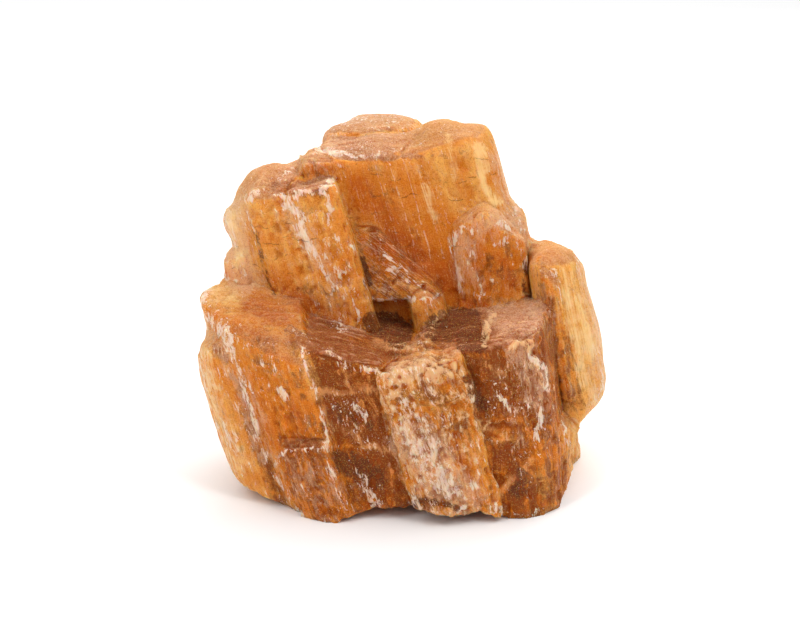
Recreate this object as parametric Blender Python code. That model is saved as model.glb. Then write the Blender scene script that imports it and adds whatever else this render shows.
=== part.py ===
"""Orange selenite: one cluster of leaning, blocky crystals grown together into a single solid.

Every crystal is a column that runs up from the ground along the shared growth direction, leaning to the left.
Its footprint is the outline that it has at height zero, a little above the ground. Its top is a break, one or
more sloping planes across the column. The columns are joined, their faces are divided into strips of cleavage,
hollows are cut where pieces broke away, the broken tops are lumpy, and the whole is warped a little so that no
face is perfectly flat. The driving numbers are in millimetres and the finished mesh is in metres, +Z up, with
the front towards -Y.
"""

import math
import random
from typing import NamedTuple

import bmesh
import bpy
from mathutils import Matrix, Vector, noise

MM = 0.001

# Driving dimensions, in millimetres
COLUMN_REACH = 92.0  # a column's height before its top is broken off
COLUMN_START = -5.0  # where a column begins, before the cut at the ground
GROUND_LEVEL = -2.5  # the height of the ground, below the level that the footprints are drawn at
GROUND_BLOCK = (120.0, 120.0, 10.0)  # the size of the block that is cut away below the ground
LATH_WIDTHS = (1.5, 4.0)  # the narrowest and widest strip of cleavage along a face
STEP_DEPTH = 0.55  # how far neighbouring strips stand out from each other
RISER = 0.15  # the sideways run of the step between two strips
LONGEST_EDGE = 9.0  # longer edges are divided, so that the warp can bend them
LONGEST_BREAK_EDGE = 5.0  # the same for edges of the broken tops
WARP_REACH = 0.45  # how far the warp moves a point
WARP_WAVELENGTH = 20.0
LUMP_REACH = 0.6  # how far the lumps of the broken tops rise and fall
LUMP_WAVELENGTH = 5.0
GROUND_FADE = 4.0  # the height over which the warp's up and down part comes in, so the feet stay flat
BREAK_SLOPE = 0.6  # a face whose upward part is larger belongs to a broken top
MERGE = 0.02  # points closer together than this are one
FLAT_ANGLE = 0.6  # faces that meet at less than this, in degrees, are one
DIVISIONS = 8  # the most times that a long edge is halved
SEED = 7


class Crystal(NamedTuple):
    """One column: where it stands, how it leans, and where it is broken off.

    A plane is its height over the origin, its rise for each millimetre to the right and its rise to the back.
    """

    name: str
    footprint: tuple  # corners at ground level, counter-clockwise from above
    lean: tuple  # how far it moves right and back for each millimetre up
    breaks: tuple  # planes that end it above
    undercuts: tuple = ()  # planes that end it below
    step: float = STEP_DEPTH  # how far its strips of cleavage stand in and out


CRYSTALS = (
    # The tall block at the back, with a raised crest on its right and a pale dome behind
    Crystal(
        "tall_block",
        ((5.5, 3.0), (17.0, 2.9), (23.0, 3.8), (31.0, 5.0), (34.0, 12.0), (32.0, 21.5), (24.5, 24.5), (9.0, 25.5),
         (4.0, 21.0), (1.5, 9.0)),
        (-0.29, 0.05),
        ((61.2, 0.0, 0.05),),
    ),
    Crystal(
        "tall_block_crest",
        ((17.5, 3.2), (23.0, 3.6), (29.8, 4.6), (34.4, 5.8), (36.4, 10.0), (36.1, 16.0), (33.8, 20.8), (25.0, 22.5)),
        (-0.29, 0.05),
        ((62.2, 0.27, -0.03), (89.5, -1.35, 0.0), (72.0, 0.0, -0.36)),
    ),
    Crystal(
        "pale_dome",
        ((4.2, 15.5), (12.0, 13.5), (21.5, 16.5), (22.5, 24.5), (14.5, 28.5), (8.5, 28.0)),
        (-0.29, 0.06),
        ((62.6, 0.06, 0.08), (66.5, 0.45, 0.12), (58.4, 0.1, 0.34), (63.2, -0.42, 0.12)),
    ),
    Crystal(
        "notch_column",
        ((-1.6, 1.8), (4.6, 2.2), (6.0, 12.0), (-1.0, 12.0)),
        (-0.29, 0.05),
        ((61.3, 0.02, 0.02),),
        step=0.2,
    ),
    # The left block, broken at two levels, and the pale laths on its left side
    Crystal(
        "left_block",
        ((-13.6, -2.8), (-9.9, -3.9), (-3.2, -5.8), (-2.8, 4.0), (1.4, 11.5), (-3.4, 13.0), (-10.4, 10.5),
         (-14.0, 4.6)),
        (-0.29, 0.05),
        ((61.0, 0.22, 0.2), (69.5, 0.5, 0.02)),
    ),
    Crystal(
        "left_block_front",
        ((-5.4, -5.3), (0.4, -5.9), (4.4, -4.9), (3.4, 6.0), (-3.6, 6.0)),
        (-0.29, 0.05),
        ((60.8, 0.2, -0.06),),
    ),
    Crystal(
        "left_block_side",
        ((-20.4, 4.2), (-18.2, 0.4), (-13.0, -1.8), (-10.6, 8.1), (-15.8, 11.4), (-20.0, 9.4)),
        (-0.26, 0.05),
        ((84.0, 1.0, 0.05), (57.0, 0.1, 0.1)),
    ),
    Crystal(
        "left_lump",
        ((-23.8, 1.0), (-20.5, -0.6), (-17.0, 2.0), (-19.0, 8.0), (-23.6, 6.0)),
        (-0.26, 0.05),
        ((64.0, 0.65, 0.0), (40.5, -0.05, 0.1)),
    ),
    # The glassy plate in front of the tall block, and the sliver to its right
    Crystal(
        "glassy_plate",
        ((15.4, 2.2), (20.6, 0.8), (26.6, 1.4), (28.4, 3.4), (29.0, 9.5), (16.4, 9.5)),
        (-0.1, 0.05),
        ((40.6, 0.69, 0.0), (66.5, -0.88, 0.0)),
    ),
    # The fibrous flake low on the tall block's face, with its underside open, and the lump beside it
    Crystal(
        "wedge_flake",
        ((3.2, -9.0), (9.5, -9.9), (17.6, -8.4), (17.6, -2.0), (3.2, -2.0)),
        (-0.29, 0.29),
        ((43.1, -0.97, 0.0), (47.6, 0.0, 0.0)),
        undercuts=((34.4, 0.04, 0.0),),
        step=0.3,
    ),
    Crystal(
        "recess_lump",
        ((9.6, -2.5), (12.5, -3.6), (15.2, -2.2), (15.5, 4.0), (9.6, 4.0)),
        (-0.22, 0.05),
        ((33.0, 0.7, 0.0), (40.5, -0.8, 0.0)),
        step=0.2,
    ),
    Crystal(
        "side_sliver",
        ((30.0, 9.0), (34.6, 9.6), (36.4, 12.0), (35.8, 17.0), (30.0, 16.0)),
        (-0.25, 0.05),
        ((75.5, -1.25, 0.0), (50.0, 0.0, 0.0)),
    ),
    # The right column, which ends above the ground, and what stands beside and below it
    Crystal(
        "right_column",
        ((34.2, -0.2), (37.6, -1.8), (42.0, 0.6), (44.2, 6.0), (43.6, 13.5), (40.5, 18.0), (34.4, 18.0)),
        (-0.215, 0.05),
        ((42.8, -0.05, -0.03), (62.0, -0.62, -0.05)),
        undercuts=((-8.0, 0.5, 0.0), (-62.0, 1.9, 0.0)),
    ),
    Crystal(
        "right_rib",
        ((34.8, -4.0), (36.9, -3.7), (37.4, 0.5), (34.6, 0.5)),
        (-0.18, 0.05),
        ((38.6, 0.3, 0.5), (80.0, -1.4, 0.0)),
        undercuts=((11.0, 0.1, 0.0),),
        step=0.2,
    ),
    Crystal(
        "right_foot",
        ((27.5, -17.0), (30.4, -12.5), (32.8, -6.0), (34.0, 2.0), (33.0, 11.0), (26.0, 8.0)),
        (0.02, 0.05),
        ((35.0, -0.75, 0.1),),
    ),
    # The lower tier, whose broken tops make the shelf
    Crystal(
        "right_shelf_block",
        ((13.2, -20.4), (18.0, -21.4), (23.4, -21.5), (27.0, -19.8), (30.6, -15.6), (33.0, -2.0), (29.0, 5.0),
         (20.0, 8.5), (9.0, 8.0), (8.5, -10.0)),
        (-0.12, 0.05),
        ((28.3, 0.2, 0.02),),
    ),
    Crystal(
        "crusted_rib",
        ((2.4, -24.2), (6.6, -25.3), (11.5, -25.4), (18.6, -23.6), (18.8, -15.0), (6.0, -14.0)),
        (-0.25, 0.05),
        ((25.6, 0.2, -0.12),),
    ),
    Crystal(
        "brown_block",
        ((-12.0, -21.4), (-4.2, -22.4), (2.6, -21.6), (8.0, -12.0), (8.5, 4.0), (-2.0, 8.0), (-14.4, 3.0)),
        (-0.22, 0.05),
        ((28.4, -0.22, 0.05),),
    ),
    Crystal(
        "shelf_floor",
        ((0.0, -15.0), (16.5, -15.5), (18.0, 6.0), (14.0, 12.0), (2.0, 12.0)),
        (-0.22, 0.05),
        ((27.2, 0.02, 0.0),),
        step=0.0,
    ),
    Crystal(
        "shelf_ridge",
        ((3.4, -15.0), (10.4, -15.3), (14.4, -12.5), (13.9, 2.5), (10.9, 2.5), (9.9, -10.5), (3.9, -12.0)),
        (-0.22, 0.05),
        ((29.3, 0.05, 0.0),),
        step=0.0,
    ),
    Crystal(
        "corner_block",
        ((-23.8, -14.6), (-16.8, -19.8), (-9.4, -23.2), (-8.8, -15.0), (-9.0, -5.0), (-12.0, 4.0), (-24.0, 5.0),
         (-28.4, -4.6)),
        (-0.29, 0.05),
        ((35.0, -0.04, 0.21), (41.4, 0.0, 0.62), (57.0, 0.52, 0.0)),
        undercuts=((-10.0, -0.36, 0.0),),
    ),
    Crystal(
        "corner_plate",
        ((-19.6, -20.4), (-14.6, -23.4), (-9.3, -24.0), (-8.8, -18.0), (-17.0, -17.0)),
        (-0.31, 0.02),
        ((16.8, 0.2, 0.0),),
        step=0.25,
    ),
    Crystal(
        "pale_slab",
        ((-32.2, -8.5), (-30.6, -12.2), (-25.6, -15.6), (-16.0, -12.0), (-20.0, 2.0), (-30.0, 4.0)),
        (-0.27, 0.05),
        ((82.0, 1.45, 0.0), (30.5, 0.0, 0.1)),
        undercuts=((-10.5, -0.36, 0.0),),
    ),
    # The back, which the photograph does not show
    Crystal(
        "back_middle",
        ((2.0, 20.0), (16.0, 18.0), (22.0, 22.0), (20.0, 29.0), (8.0, 31.0), (0.0, 28.0)),
        (-0.26, 0.05),
        ((48.0, 0.2, -0.1),),
    ),
    Crystal(
        "back_left",
        ((-16.0, 6.0), (-2.0, 8.0), (4.0, 16.0), (2.0, 26.0), (-10.0, 28.0), (-18.0, 18.0)),
        (-0.27, 0.04),
        ((45.0, 0.22, -0.12),),
    ),
    Crystal(
        "back_right",
        ((22.0, 10.0), (33.5, 8.0), (35.6, 17.0), (33.0, 28.0), (24.0, 29.0), (18.0, 20.0)),
        (-0.2, 0.05),
        ((33.5, 0.12, -0.15),),
    ),
    Crystal(
        "back_low_left",
        ((-26.0, 0.0), (-16.0, -2.0), (-12.0, 14.0), (-16.0, 23.0), (-26.0, 20.0), (-29.0, 8.0)),
        (-0.25, 0.05),
        ((27.0, 0.1, -0.2),),
    ),
    Crystal(
        "back_low_right",
        ((8.0, 22.0), (24.0, 22.0), (28.0, 30.0), (20.0, 34.0), (8.0, 33.0)),
        (-0.2, 0.02),
        ((18.0, 0.1, -0.2),),
    ),
)


# Rounded hollows, each with its name, centre, half sizes and lean to the left in degrees
HOLLOWS = (
    ("front_hollow", (14.9, -21.4, 19.5), (2.4, 1.9, 3.6), 14.0),
    ("front_arch", (4.5, -25.0, GROUND_LEVEL), (17.0, 14.0, 3.0), 0.0),
    ("back_arch", (6.0, 9.0, GROUND_LEVEL), (19.0, 9.0, 1.6), 0.0),
)


def striated(outline, step, rng):
    """The outline with its long edges divided into strips that stand in and out, as cleaved selenite does.

    The first and the last strip of an edge stay flush with its corners.
    """
    points = []
    for start, end in zip(outline, outline[1:] + outline[:1]):
        start, end = Vector(start), Vector(end)
        along = (end - start).normalized()
        outwards = Vector((along.y, -along.x))
        points.append(start)
        steps = []
        reached = rng.uniform(*LATH_WIDTHS)
        while reached < (end - start).length - LATH_WIDTHS[0]:
            steps.append(reached)
            reached += rng.uniform(*LATH_WIDTHS)
        depth = 0.0
        for place in steps:
            next_depth = 0.0 if place == steps[-1] else rng.uniform(-step, step)
            if next_depth != depth:
                points.append(start + along * place + outwards * depth)
                points.append(start + along * (place + RISER) + outwards * next_depth)
            depth = next_depth
    return points


def cut_away(bm, point, outward):
    """Removes what lies beyond a plane and closes the cut with a face."""
    geometry = bm.verts[:] + bm.edges[:] + bm.faces[:]
    bmesh.ops.bisect_plane(bm, geom=geometry, plane_co=point, plane_no=outward, clear_outer=True)
    rim = [edge for edge in bm.edges if edge.is_boundary]
    if rim:
        bmesh.ops.holes_fill(bm, edges=rim)


def column(crystal, rng):
    """A closed mesh of one crystal, in millimetres."""
    bm = bmesh.new()
    ring = [bm.verts.new((p.x, p.y, 0.0)) for p in striated(crystal.footprint, crystal.step, rng)]
    base = bm.faces.new(ring)
    grown = bmesh.ops.extrude_face_region(bm, geom=[base])
    raised = [item for item in grown["geom"] if isinstance(item, bmesh.types.BMVert)]
    bmesh.ops.translate(bm, vec=(0.0, 0.0, COLUMN_REACH), verts=raised)
    bmesh.ops.translate(bm, vec=(0.0, 0.0, COLUMN_START), verts=bm.verts)
    lean_right, lean_back = crystal.lean
    shear = Matrix(((1, 0, lean_right, 0), (0, 1, lean_back, 0), (0, 0, 1, 0), (0, 0, 0, 1)))
    bmesh.ops.transform(bm, matrix=shear, verts=bm.verts)
    bmesh.ops.recalc_face_normals(bm, faces=bm.faces)
    for height, right, back in crystal.breaks:
        cut_away(bm, (0.0, 0.0, height), Vector((-right, -back, 1.0)).normalized())
    for height, right, back in crystal.undercuts:
        cut_away(bm, (0.0, 0.0, height), Vector((right, back, -1.0)).normalized())
    return bm


def as_object(name, bm, collection):
    """The millimetre mesh as an object in metres."""
    bmesh.ops.scale(bm, vec=(MM, MM, MM), verts=bm.verts)
    mesh = bpy.data.meshes.new(name)
    bm.to_mesh(mesh)
    bm.free()
    obj = bpy.data.objects.new(name, mesh)
    collection.objects.link(obj)
    return obj


def selenite_material():
    """Translucent orange, waxy to the eye."""
    material = bpy.data.materials.new("orange_selenite")
    material.use_nodes = True
    shader = material.node_tree.nodes["Principled BSDF"]
    shader.inputs["Base Color"].default_value = (0.55, 0.21, 0.06, 1.0)
    shader.inputs["Roughness"].default_value = 0.4
    shader.inputs["Metallic"].default_value = 0.0
    shader.inputs["Subsurface Weight"].default_value = 0.4
    return material


def ground_block(collection):
    """A box that fills the space below the ground, for cutting."""
    bm = bmesh.new()
    bmesh.ops.create_cube(bm, size=1.0)
    bmesh.ops.scale(bm, vec=GROUND_BLOCK, verts=bm.verts)
    bmesh.ops.translate(bm, vec=(0.0, 0.0, GROUND_LEVEL - GROUND_BLOCK[2] / 2), verts=bm.verts)
    as_object("ground", bm, collection)


def hollow(name, centre, half_sizes, lean, collection):
    """An ellipsoid for cutting."""
    bm = bmesh.new()
    bmesh.ops.create_icosphere(bm, subdivisions=2, radius=1.0)
    bmesh.ops.scale(bm, vec=half_sizes, verts=bm.verts)
    bmesh.ops.rotate(bm, matrix=Matrix.Rotation(-math.radians(lean), 3, "Y"), verts=bm.verts)
    bmesh.ops.translate(bm, vec=centre, verts=bm.verts)
    as_object(name, bm, collection)


def combined(target, operation, collection):
    """Joins all of a collection's solids with the target, or cuts them from it, in one exact Boolean."""
    modifier = target.modifiers.new(collection.name, "BOOLEAN")
    modifier.operation = operation
    modifier.solver = "EXACT"
    modifier.operand_type = "COLLECTION"
    modifier.collection = collection


def evaluated_mesh(obj, name):
    """A plain mesh of the object with its modifiers applied."""
    bpy.context.view_layer.update()
    graph = bpy.context.evaluated_depsgraph_get()
    mesh = bpy.data.meshes.new_from_object(obj.evaluated_get(graph))
    mesh.name = name
    return mesh


def is_break(face):
    """True for a face of a broken top."""
    return face.normal.z > BREAK_SLOPE


def divide_edges(bm):
    """Divides the long edges, those of the broken tops more finely, until none is left."""
    for _ in range(DIVISIONS):
        bm.normal_update()
        long_edges = []
        for edge in bm.edges:
            limit = LONGEST_BREAK_EDGE if all(is_break(face) for face in edge.link_faces) else LONGEST_EDGE
            if edge.calc_length() > limit:
                long_edges.append(edge)
        if not long_edges:
            break
        bmesh.ops.subdivide_edges(bm, edges=long_edges, cuts=1)
        bmesh.ops.triangulate(bm, faces=bm.faces)


def finish_surface(mesh):
    """Cleans the joined surface, makes the broken tops lumpy and warps the whole a little."""
    bm = bmesh.new()
    bm.from_mesh(mesh)
    bmesh.ops.scale(bm, vec=(1 / MM, 1 / MM, 1 / MM), verts=bm.verts)
    bmesh.ops.remove_doubles(bm, verts=bm.verts, dist=MERGE)
    bmesh.ops.dissolve_limit(bm, angle_limit=math.radians(FLAT_ANGLE), verts=bm.verts, edges=bm.edges)
    bmesh.ops.triangulate(bm, faces=bm.faces)
    bmesh.ops.dissolve_degenerate(bm, edges=bm.edges, dist=MERGE)
    divide_edges(bm)
    bm.normal_update()
    broken = {vert for vert in bm.verts if all(is_break(face) for face in vert.link_faces)}
    for vert in bm.verts:
        shift = noise.noise_vector(vert.co / WARP_WAVELENGTH) * WARP_REACH
        if vert in broken:
            shift.z += noise.noise(vert.co / LUMP_WAVELENGTH) * LUMP_REACH
        above_ground = max(vert.co.z - GROUND_LEVEL, 0.0)
        shift.z *= min(above_ground / GROUND_FADE, 1.0)
        vert.co += shift
    bmesh.ops.triangulate(bm, faces=bm.faces)
    bmesh.ops.scale(bm, vec=(MM, MM, MM), verts=bm.verts)
    bm.to_mesh(mesh)
    bm.free()


def centred_on_ground(mesh):
    """Moves the mesh so that the middle of its box stands over the origin."""
    xs = [vert.co.x for vert in mesh.vertices]
    ys = [vert.co.y for vert in mesh.vertices]
    zs = [vert.co.z for vert in mesh.vertices]
    middle = Vector(((min(xs) + max(xs)) / 2, (min(ys) + max(ys)) / 2, min(zs)))
    mesh.transform(Matrix.Translation(-middle))


def main():
    for obj in list(bpy.data.objects):
        bpy.data.objects.remove(obj)
    part = bpy.data.collections.new("orange_selenite")
    blanks = bpy.data.collections.new("crystal_blanks")
    cutters = bpy.data.collections.new("hollows")
    for collection in (part, blanks, cutters):
        bpy.context.scene.collection.children.link(collection)
    rng = random.Random(SEED)
    noise.seed_set(SEED)
    core = as_object(CRYSTALS[0].name, column(CRYSTALS[0], rng), part)
    for crystal in CRYSTALS[1:]:
        as_object(crystal.name, column(crystal, rng), blanks)
    ground_block(cutters)
    for name, centre, half_sizes, lean in HOLLOWS:
        hollow(name, centre, half_sizes, lean, cutters)
    combined(core, "UNION", blanks)
    combined(core, "DIFFERENCE", cutters)
    mesh = evaluated_mesh(core, "selenite_cluster")
    for obj in [core, *blanks.objects, *cutters.objects]:
        bpy.data.objects.remove(obj)
    finish_surface(mesh)
    centred_on_ground(mesh)
    cluster = bpy.data.objects.new("selenite_cluster", mesh)
    part.objects.link(cluster)
    cluster.data.materials.clear()
    cluster.data.materials.append(selenite_material())


main()
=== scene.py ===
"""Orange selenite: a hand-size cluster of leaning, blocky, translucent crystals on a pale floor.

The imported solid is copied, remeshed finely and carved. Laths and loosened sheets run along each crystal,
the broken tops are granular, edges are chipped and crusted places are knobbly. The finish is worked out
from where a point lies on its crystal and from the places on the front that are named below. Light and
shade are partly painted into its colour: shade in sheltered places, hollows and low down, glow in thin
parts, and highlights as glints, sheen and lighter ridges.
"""

import math
from types import SimpleNamespace
from typing import NamedTuple

import bpy  # noqa: E402
import numpy as np  # noqa: E402
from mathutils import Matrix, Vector  # noqa: E402


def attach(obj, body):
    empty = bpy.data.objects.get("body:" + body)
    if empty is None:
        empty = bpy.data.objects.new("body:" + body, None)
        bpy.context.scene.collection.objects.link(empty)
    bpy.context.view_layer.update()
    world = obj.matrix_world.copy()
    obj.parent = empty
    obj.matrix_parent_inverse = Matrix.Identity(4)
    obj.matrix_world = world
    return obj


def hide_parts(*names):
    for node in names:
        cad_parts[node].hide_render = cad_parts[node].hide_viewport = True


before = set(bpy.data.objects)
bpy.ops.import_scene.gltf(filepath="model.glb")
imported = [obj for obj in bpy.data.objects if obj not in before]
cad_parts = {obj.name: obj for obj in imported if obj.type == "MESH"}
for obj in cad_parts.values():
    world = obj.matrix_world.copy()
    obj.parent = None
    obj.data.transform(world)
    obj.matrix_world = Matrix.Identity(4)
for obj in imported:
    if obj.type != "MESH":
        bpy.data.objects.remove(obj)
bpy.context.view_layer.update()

bl_info = {
    "name": "Orange Selenite Cluster",
    "version": (1, 0),
    "blender": (4, 5, 0),
    "location": "3D View > Sidebar > Selenite",
    "description": "Builds a cluster of orange selenite crystals over its packed solid",
    "category": "Add Mesh",
}

MM = 0.001

# Where the drawing origin of the crystals' footprints lies in the finished frame, in millimetres
DRAWING_ORIGIN = np.array((-0.887, -4.53, 2.5))

# The camera's place: it looks at a point over the drawing origin from the front and a little above. Lengths
# are in millimetres and the size of the picture is in pixels.
VIEW_TARGET = np.array((0.0, 0.0, 30.0))
VIEW_ELEVATION = math.radians(18.0)
VIEW_DISTANCE = 392.0
VIEW_LENS = 90.0
VIEW_SENSOR = 36.0
VIEW_SIZE = (800, 644)

PIECE = "selenite_cluster_surface"

# How the copy of the solid is made ready and what the finish measures on it
MERGE_DISTANCE = 1e-5  # in metres
LEAST_WEAR = 0.03  # of the edges of a crystal that isn't worn
GROUND_FADE = (0.1, 1.5)  # the heights between which the carving comes in, in millimetres
BREAK_BLEND = 0.35  # how far to each side of a rim a crystal's side turns into its broken top, in millimetres
SHARE_REACH = 0.35  # over how many millimetres a crystal's share in its neighbour fades if it isn't worn
WORN_SHARE_REACH = 2.5  # how many more if it is
MARK_BENDS = {"broad bend": 3.5, "fine bend": 2.5}  # how far the marks wander, in pixels of the front view
# The bright rims are partly pale chipped rims and partly a painted highlight.
CHIPPED_RIM = 0.9  # how far the bright rims of the edges reach, in millimetres
FULL_RISE = 0.25  # how far a ridge stands out, or a hollow in, to count in full, in millimetres
SMOOTHING_ROUNDS = 10  # of the surface that ridges and hollows are measured from
SHELTER_REACHES = (3.0, 7.0, 13.0)  # in millimetres
THIN_REACHES = (3.5, 8.0)  # in millimetres
SHARP_ANGLE = math.radians(38.0)  # faces that meet at more than this are shaded with a sharp edge

# The crystals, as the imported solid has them: footprint at height zero, lean, planes that break the top and
# planes that end it below, in millimetres. A plane is its height over the origin, its rise to the right and
# its rise to the back. The low ridge across the shelf isn't listed, and takes its finish from the crystals
# beside it.
CRYSTALS = {
    "tall_block": (
        ((5.5, 3.0), (17.0, 2.9), (23.0, 3.8), (31.0, 5.0), (34.0, 12.0), (32.0, 21.5), (24.5, 24.5),
         (9.0, 25.5), (4.0, 21.0), (1.5, 9.0)),
        (-0.29, 0.05), ((61.2, 0.0, 0.05),), ()),
    "tall_block_crest": (
        ((17.5, 3.2), (23.0, 3.6), (29.8, 4.6), (34.4, 5.8), (36.4, 10.0), (36.1, 16.0), (33.8, 20.8),
         (25.0, 22.5)),
        (-0.29, 0.05), ((62.2, 0.27, -0.03), (89.5, -1.35, 0.0), (72.0, 0.0, -0.36)), ()),
    "pale_dome": (
        ((4.2, 15.5), (12.0, 13.5), (21.5, 16.5), (22.5, 24.5), (14.5, 28.5), (8.5, 28.0)),
        (-0.29, 0.06), ((62.6, 0.06, 0.08), (66.5, 0.45, 0.12), (58.4, 0.1, 0.34), (63.2, -0.42, 0.12)), ()),
    "notch_column": (
        ((-1.6, 1.8), (4.6, 2.2), (6.0, 12.0), (-1.0, 12.0)), (-0.29, 0.05), ((61.3, 0.02, 0.02),), ()),
    "left_block": (
        ((-13.6, -2.8), (-9.9, -3.9), (-3.2, -5.8), (-2.8, 4.0), (1.4, 11.5), (-3.4, 13.0), (-10.4, 10.5),
         (-14.0, 4.6)),
        (-0.29, 0.05), ((61.0, 0.22, 0.2), (69.5, 0.5, 0.02)), ()),
    "left_block_front": (
        ((-5.4, -5.3), (0.4, -5.9), (4.4, -4.9), (3.4, 6.0), (-3.6, 6.0)),
        (-0.29, 0.05), ((60.8, 0.2, -0.06),), ()),
    "left_block_side": (
        ((-20.4, 4.2), (-18.2, 0.4), (-13.0, -1.8), (-10.6, 8.1), (-15.8, 11.4), (-20.0, 9.4)),
        (-0.26, 0.05), ((84.0, 1.0, 0.05), (57.0, 0.1, 0.1)), ()),
    "left_lump": (
        ((-23.8, 1.0), (-20.5, -0.6), (-17.0, 2.0), (-19.0, 8.0), (-23.6, 6.0)),
        (-0.26, 0.05), ((64.0, 0.65, 0.0), (40.5, -0.05, 0.1)), ()),
    "glassy_plate": (
        ((15.4, 2.2), (20.6, 0.8), (26.6, 1.4), (28.4, 3.4), (29.0, 9.5), (16.4, 9.5)),
        (-0.1, 0.05), ((40.6, 0.69, 0.0), (66.5, -0.88, 0.0)), ()),
    "wedge_flake": (
        ((3.2, -9.0), (9.5, -9.9), (17.6, -8.4), (17.6, -2.0), (3.2, -2.0)),
        (-0.29, 0.29), ((43.1, -0.97, 0.0), (47.6, 0.0, 0.0)), ((34.4, 0.04, 0.0),)),
    "recess_lump": (
        ((9.6, -2.5), (12.5, -3.6), (15.2, -2.2), (15.5, 4.0), (9.6, 4.0)),
        (-0.22, 0.05), ((33.0, 0.7, 0.0), (40.5, -0.8, 0.0)), ()),
    "side_sliver": (
        ((30.0, 9.0), (34.6, 9.6), (36.4, 12.0), (35.8, 17.0), (30.0, 16.0)),
        (-0.25, 0.05), ((75.5, -1.25, 0.0), (50.0, 0.0, 0.0)), ()),
    "right_column": (
        ((34.2, -0.2), (37.6, -1.8), (42.0, 0.6), (44.2, 6.0), (43.6, 13.5), (40.5, 18.0), (34.4, 18.0)),
        (-0.215, 0.05), ((42.8, -0.05, -0.03), (62.0, -0.62, -0.05)), ((-8.0, 0.5, 0.0), (-62.0, 1.9, 0.0))),
    "right_rib": (
        ((34.8, -4.0), (36.9, -3.7), (37.4, 0.5), (34.6, 0.5)),
        (-0.18, 0.05), ((38.6, 0.3, 0.5), (80.0, -1.4, 0.0)), ((11.0, 0.1, 0.0),)),
    "right_foot": (
        ((27.5, -17.0), (30.4, -12.5), (32.8, -6.0), (34.0, 2.0), (33.0, 11.0), (26.0, 8.0)),
        (0.02, 0.05), ((35.0, -0.75, 0.1),), ()),
    "right_shelf_block": (
        ((13.2, -20.4), (18.0, -21.4), (23.4, -21.5), (27.0, -19.8), (30.6, -15.6), (33.0, -2.0),
         (29.0, 5.0), (20.0, 8.5), (9.0, 8.0), (8.5, -10.0)),
        (-0.12, 0.05), ((28.3, 0.2, 0.02),), ()),
    "crusted_rib": (
        ((2.4, -24.2), (6.6, -25.3), (11.5, -25.4), (18.6, -23.6), (18.8, -15.0), (6.0, -14.0)),
        (-0.25, 0.05), ((25.6, 0.2, -0.12),), ()),
    "brown_block": (
        ((-12.0, -21.4), (-4.2, -22.4), (2.6, -21.6), (8.0, -12.0), (8.5, 4.0), (-2.0, 8.0), (-14.4, 3.0)),
        (-0.22, 0.05), ((28.4, -0.22, 0.05),), ()),
    "shelf_floor": (
        ((0.0, -15.0), (16.5, -15.5), (18.0, 6.0), (14.0, 12.0), (2.0, 12.0)),
        (-0.22, 0.05), ((27.2, 0.02, 0.0),), ()),
    "corner_block": (
        ((-23.8, -14.6), (-16.8, -19.8), (-9.4, -23.2), (-8.8, -15.0), (-9.0, -5.0), (-12.0, 4.0),
         (-24.0, 5.0), (-28.4, -4.6)),
        (-0.29, 0.05), ((35.0, -0.04, 0.21), (41.4, 0.0, 0.62), (57.0, 0.52, 0.0)), ((-10.0, -0.36, 0.0),)),
    "corner_plate": (
        ((-19.6, -20.4), (-14.6, -23.4), (-9.3, -24.0), (-8.8, -18.0), (-17.0, -17.0)),
        (-0.31, 0.02), ((16.8, 0.2, 0.0),), ()),
    "pale_slab": (
        ((-32.2, -8.5), (-30.6, -12.2), (-25.6, -15.6), (-16.0, -12.0), (-20.0, 2.0), (-30.0, 4.0)),
        (-0.27, 0.05), ((82.0, 1.45, 0.0), (30.5, 0.0, 0.1)), ((-10.5, -0.36, 0.0),)),
    "back_middle": (
        ((2.0, 20.0), (16.0, 18.0), (22.0, 22.0), (20.0, 29.0), (8.0, 31.0), (0.0, 28.0)),
        (-0.26, 0.05), ((48.0, 0.2, -0.1),), ()),
    "back_left": (
        ((-16.0, 6.0), (-2.0, 8.0), (4.0, 16.0), (2.0, 26.0), (-10.0, 28.0), (-18.0, 18.0)),
        (-0.27, 0.04), ((45.0, 0.22, -0.12),), ()),
    "back_right": (
        ((22.0, 10.0), (33.5, 8.0), (35.6, 17.0), (33.0, 28.0), (24.0, 29.0), (18.0, 20.0)),
        (-0.2, 0.05), ((33.5, 0.12, -0.15),), ()),
    "back_low_left": (
        ((-26.0, 0.0), (-16.0, -2.0), (-12.0, 14.0), (-16.0, 23.0), (-26.0, 20.0), (-29.0, 8.0)),
        (-0.25, 0.05), ((27.0, 0.1, -0.2),), ()),
    "back_low_right": (
        ((8.0, 22.0), (24.0, 22.0), (28.0, 30.0), (20.0, 34.0), (8.0, 33.0)),
        (-0.2, 0.02), ((18.0, 0.1, -0.2),), ()),
}


class Tint(NamedTuple):
    """How much of each character a crystal has, from 0 to 1."""

    golden: float = 0.0
    deep: float = 0.0
    brown: float = 0.0
    pale: float = 0.0
    crust: float = 0.0
    waxy: float = 0.0  # how far its broken ends keep the colour of its sides
    clear: float = 0.0  # how free it is of clouds and relief
    wear: float = 0.1  # how far its edges are rounded
    lumpy: float = 0.2


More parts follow.
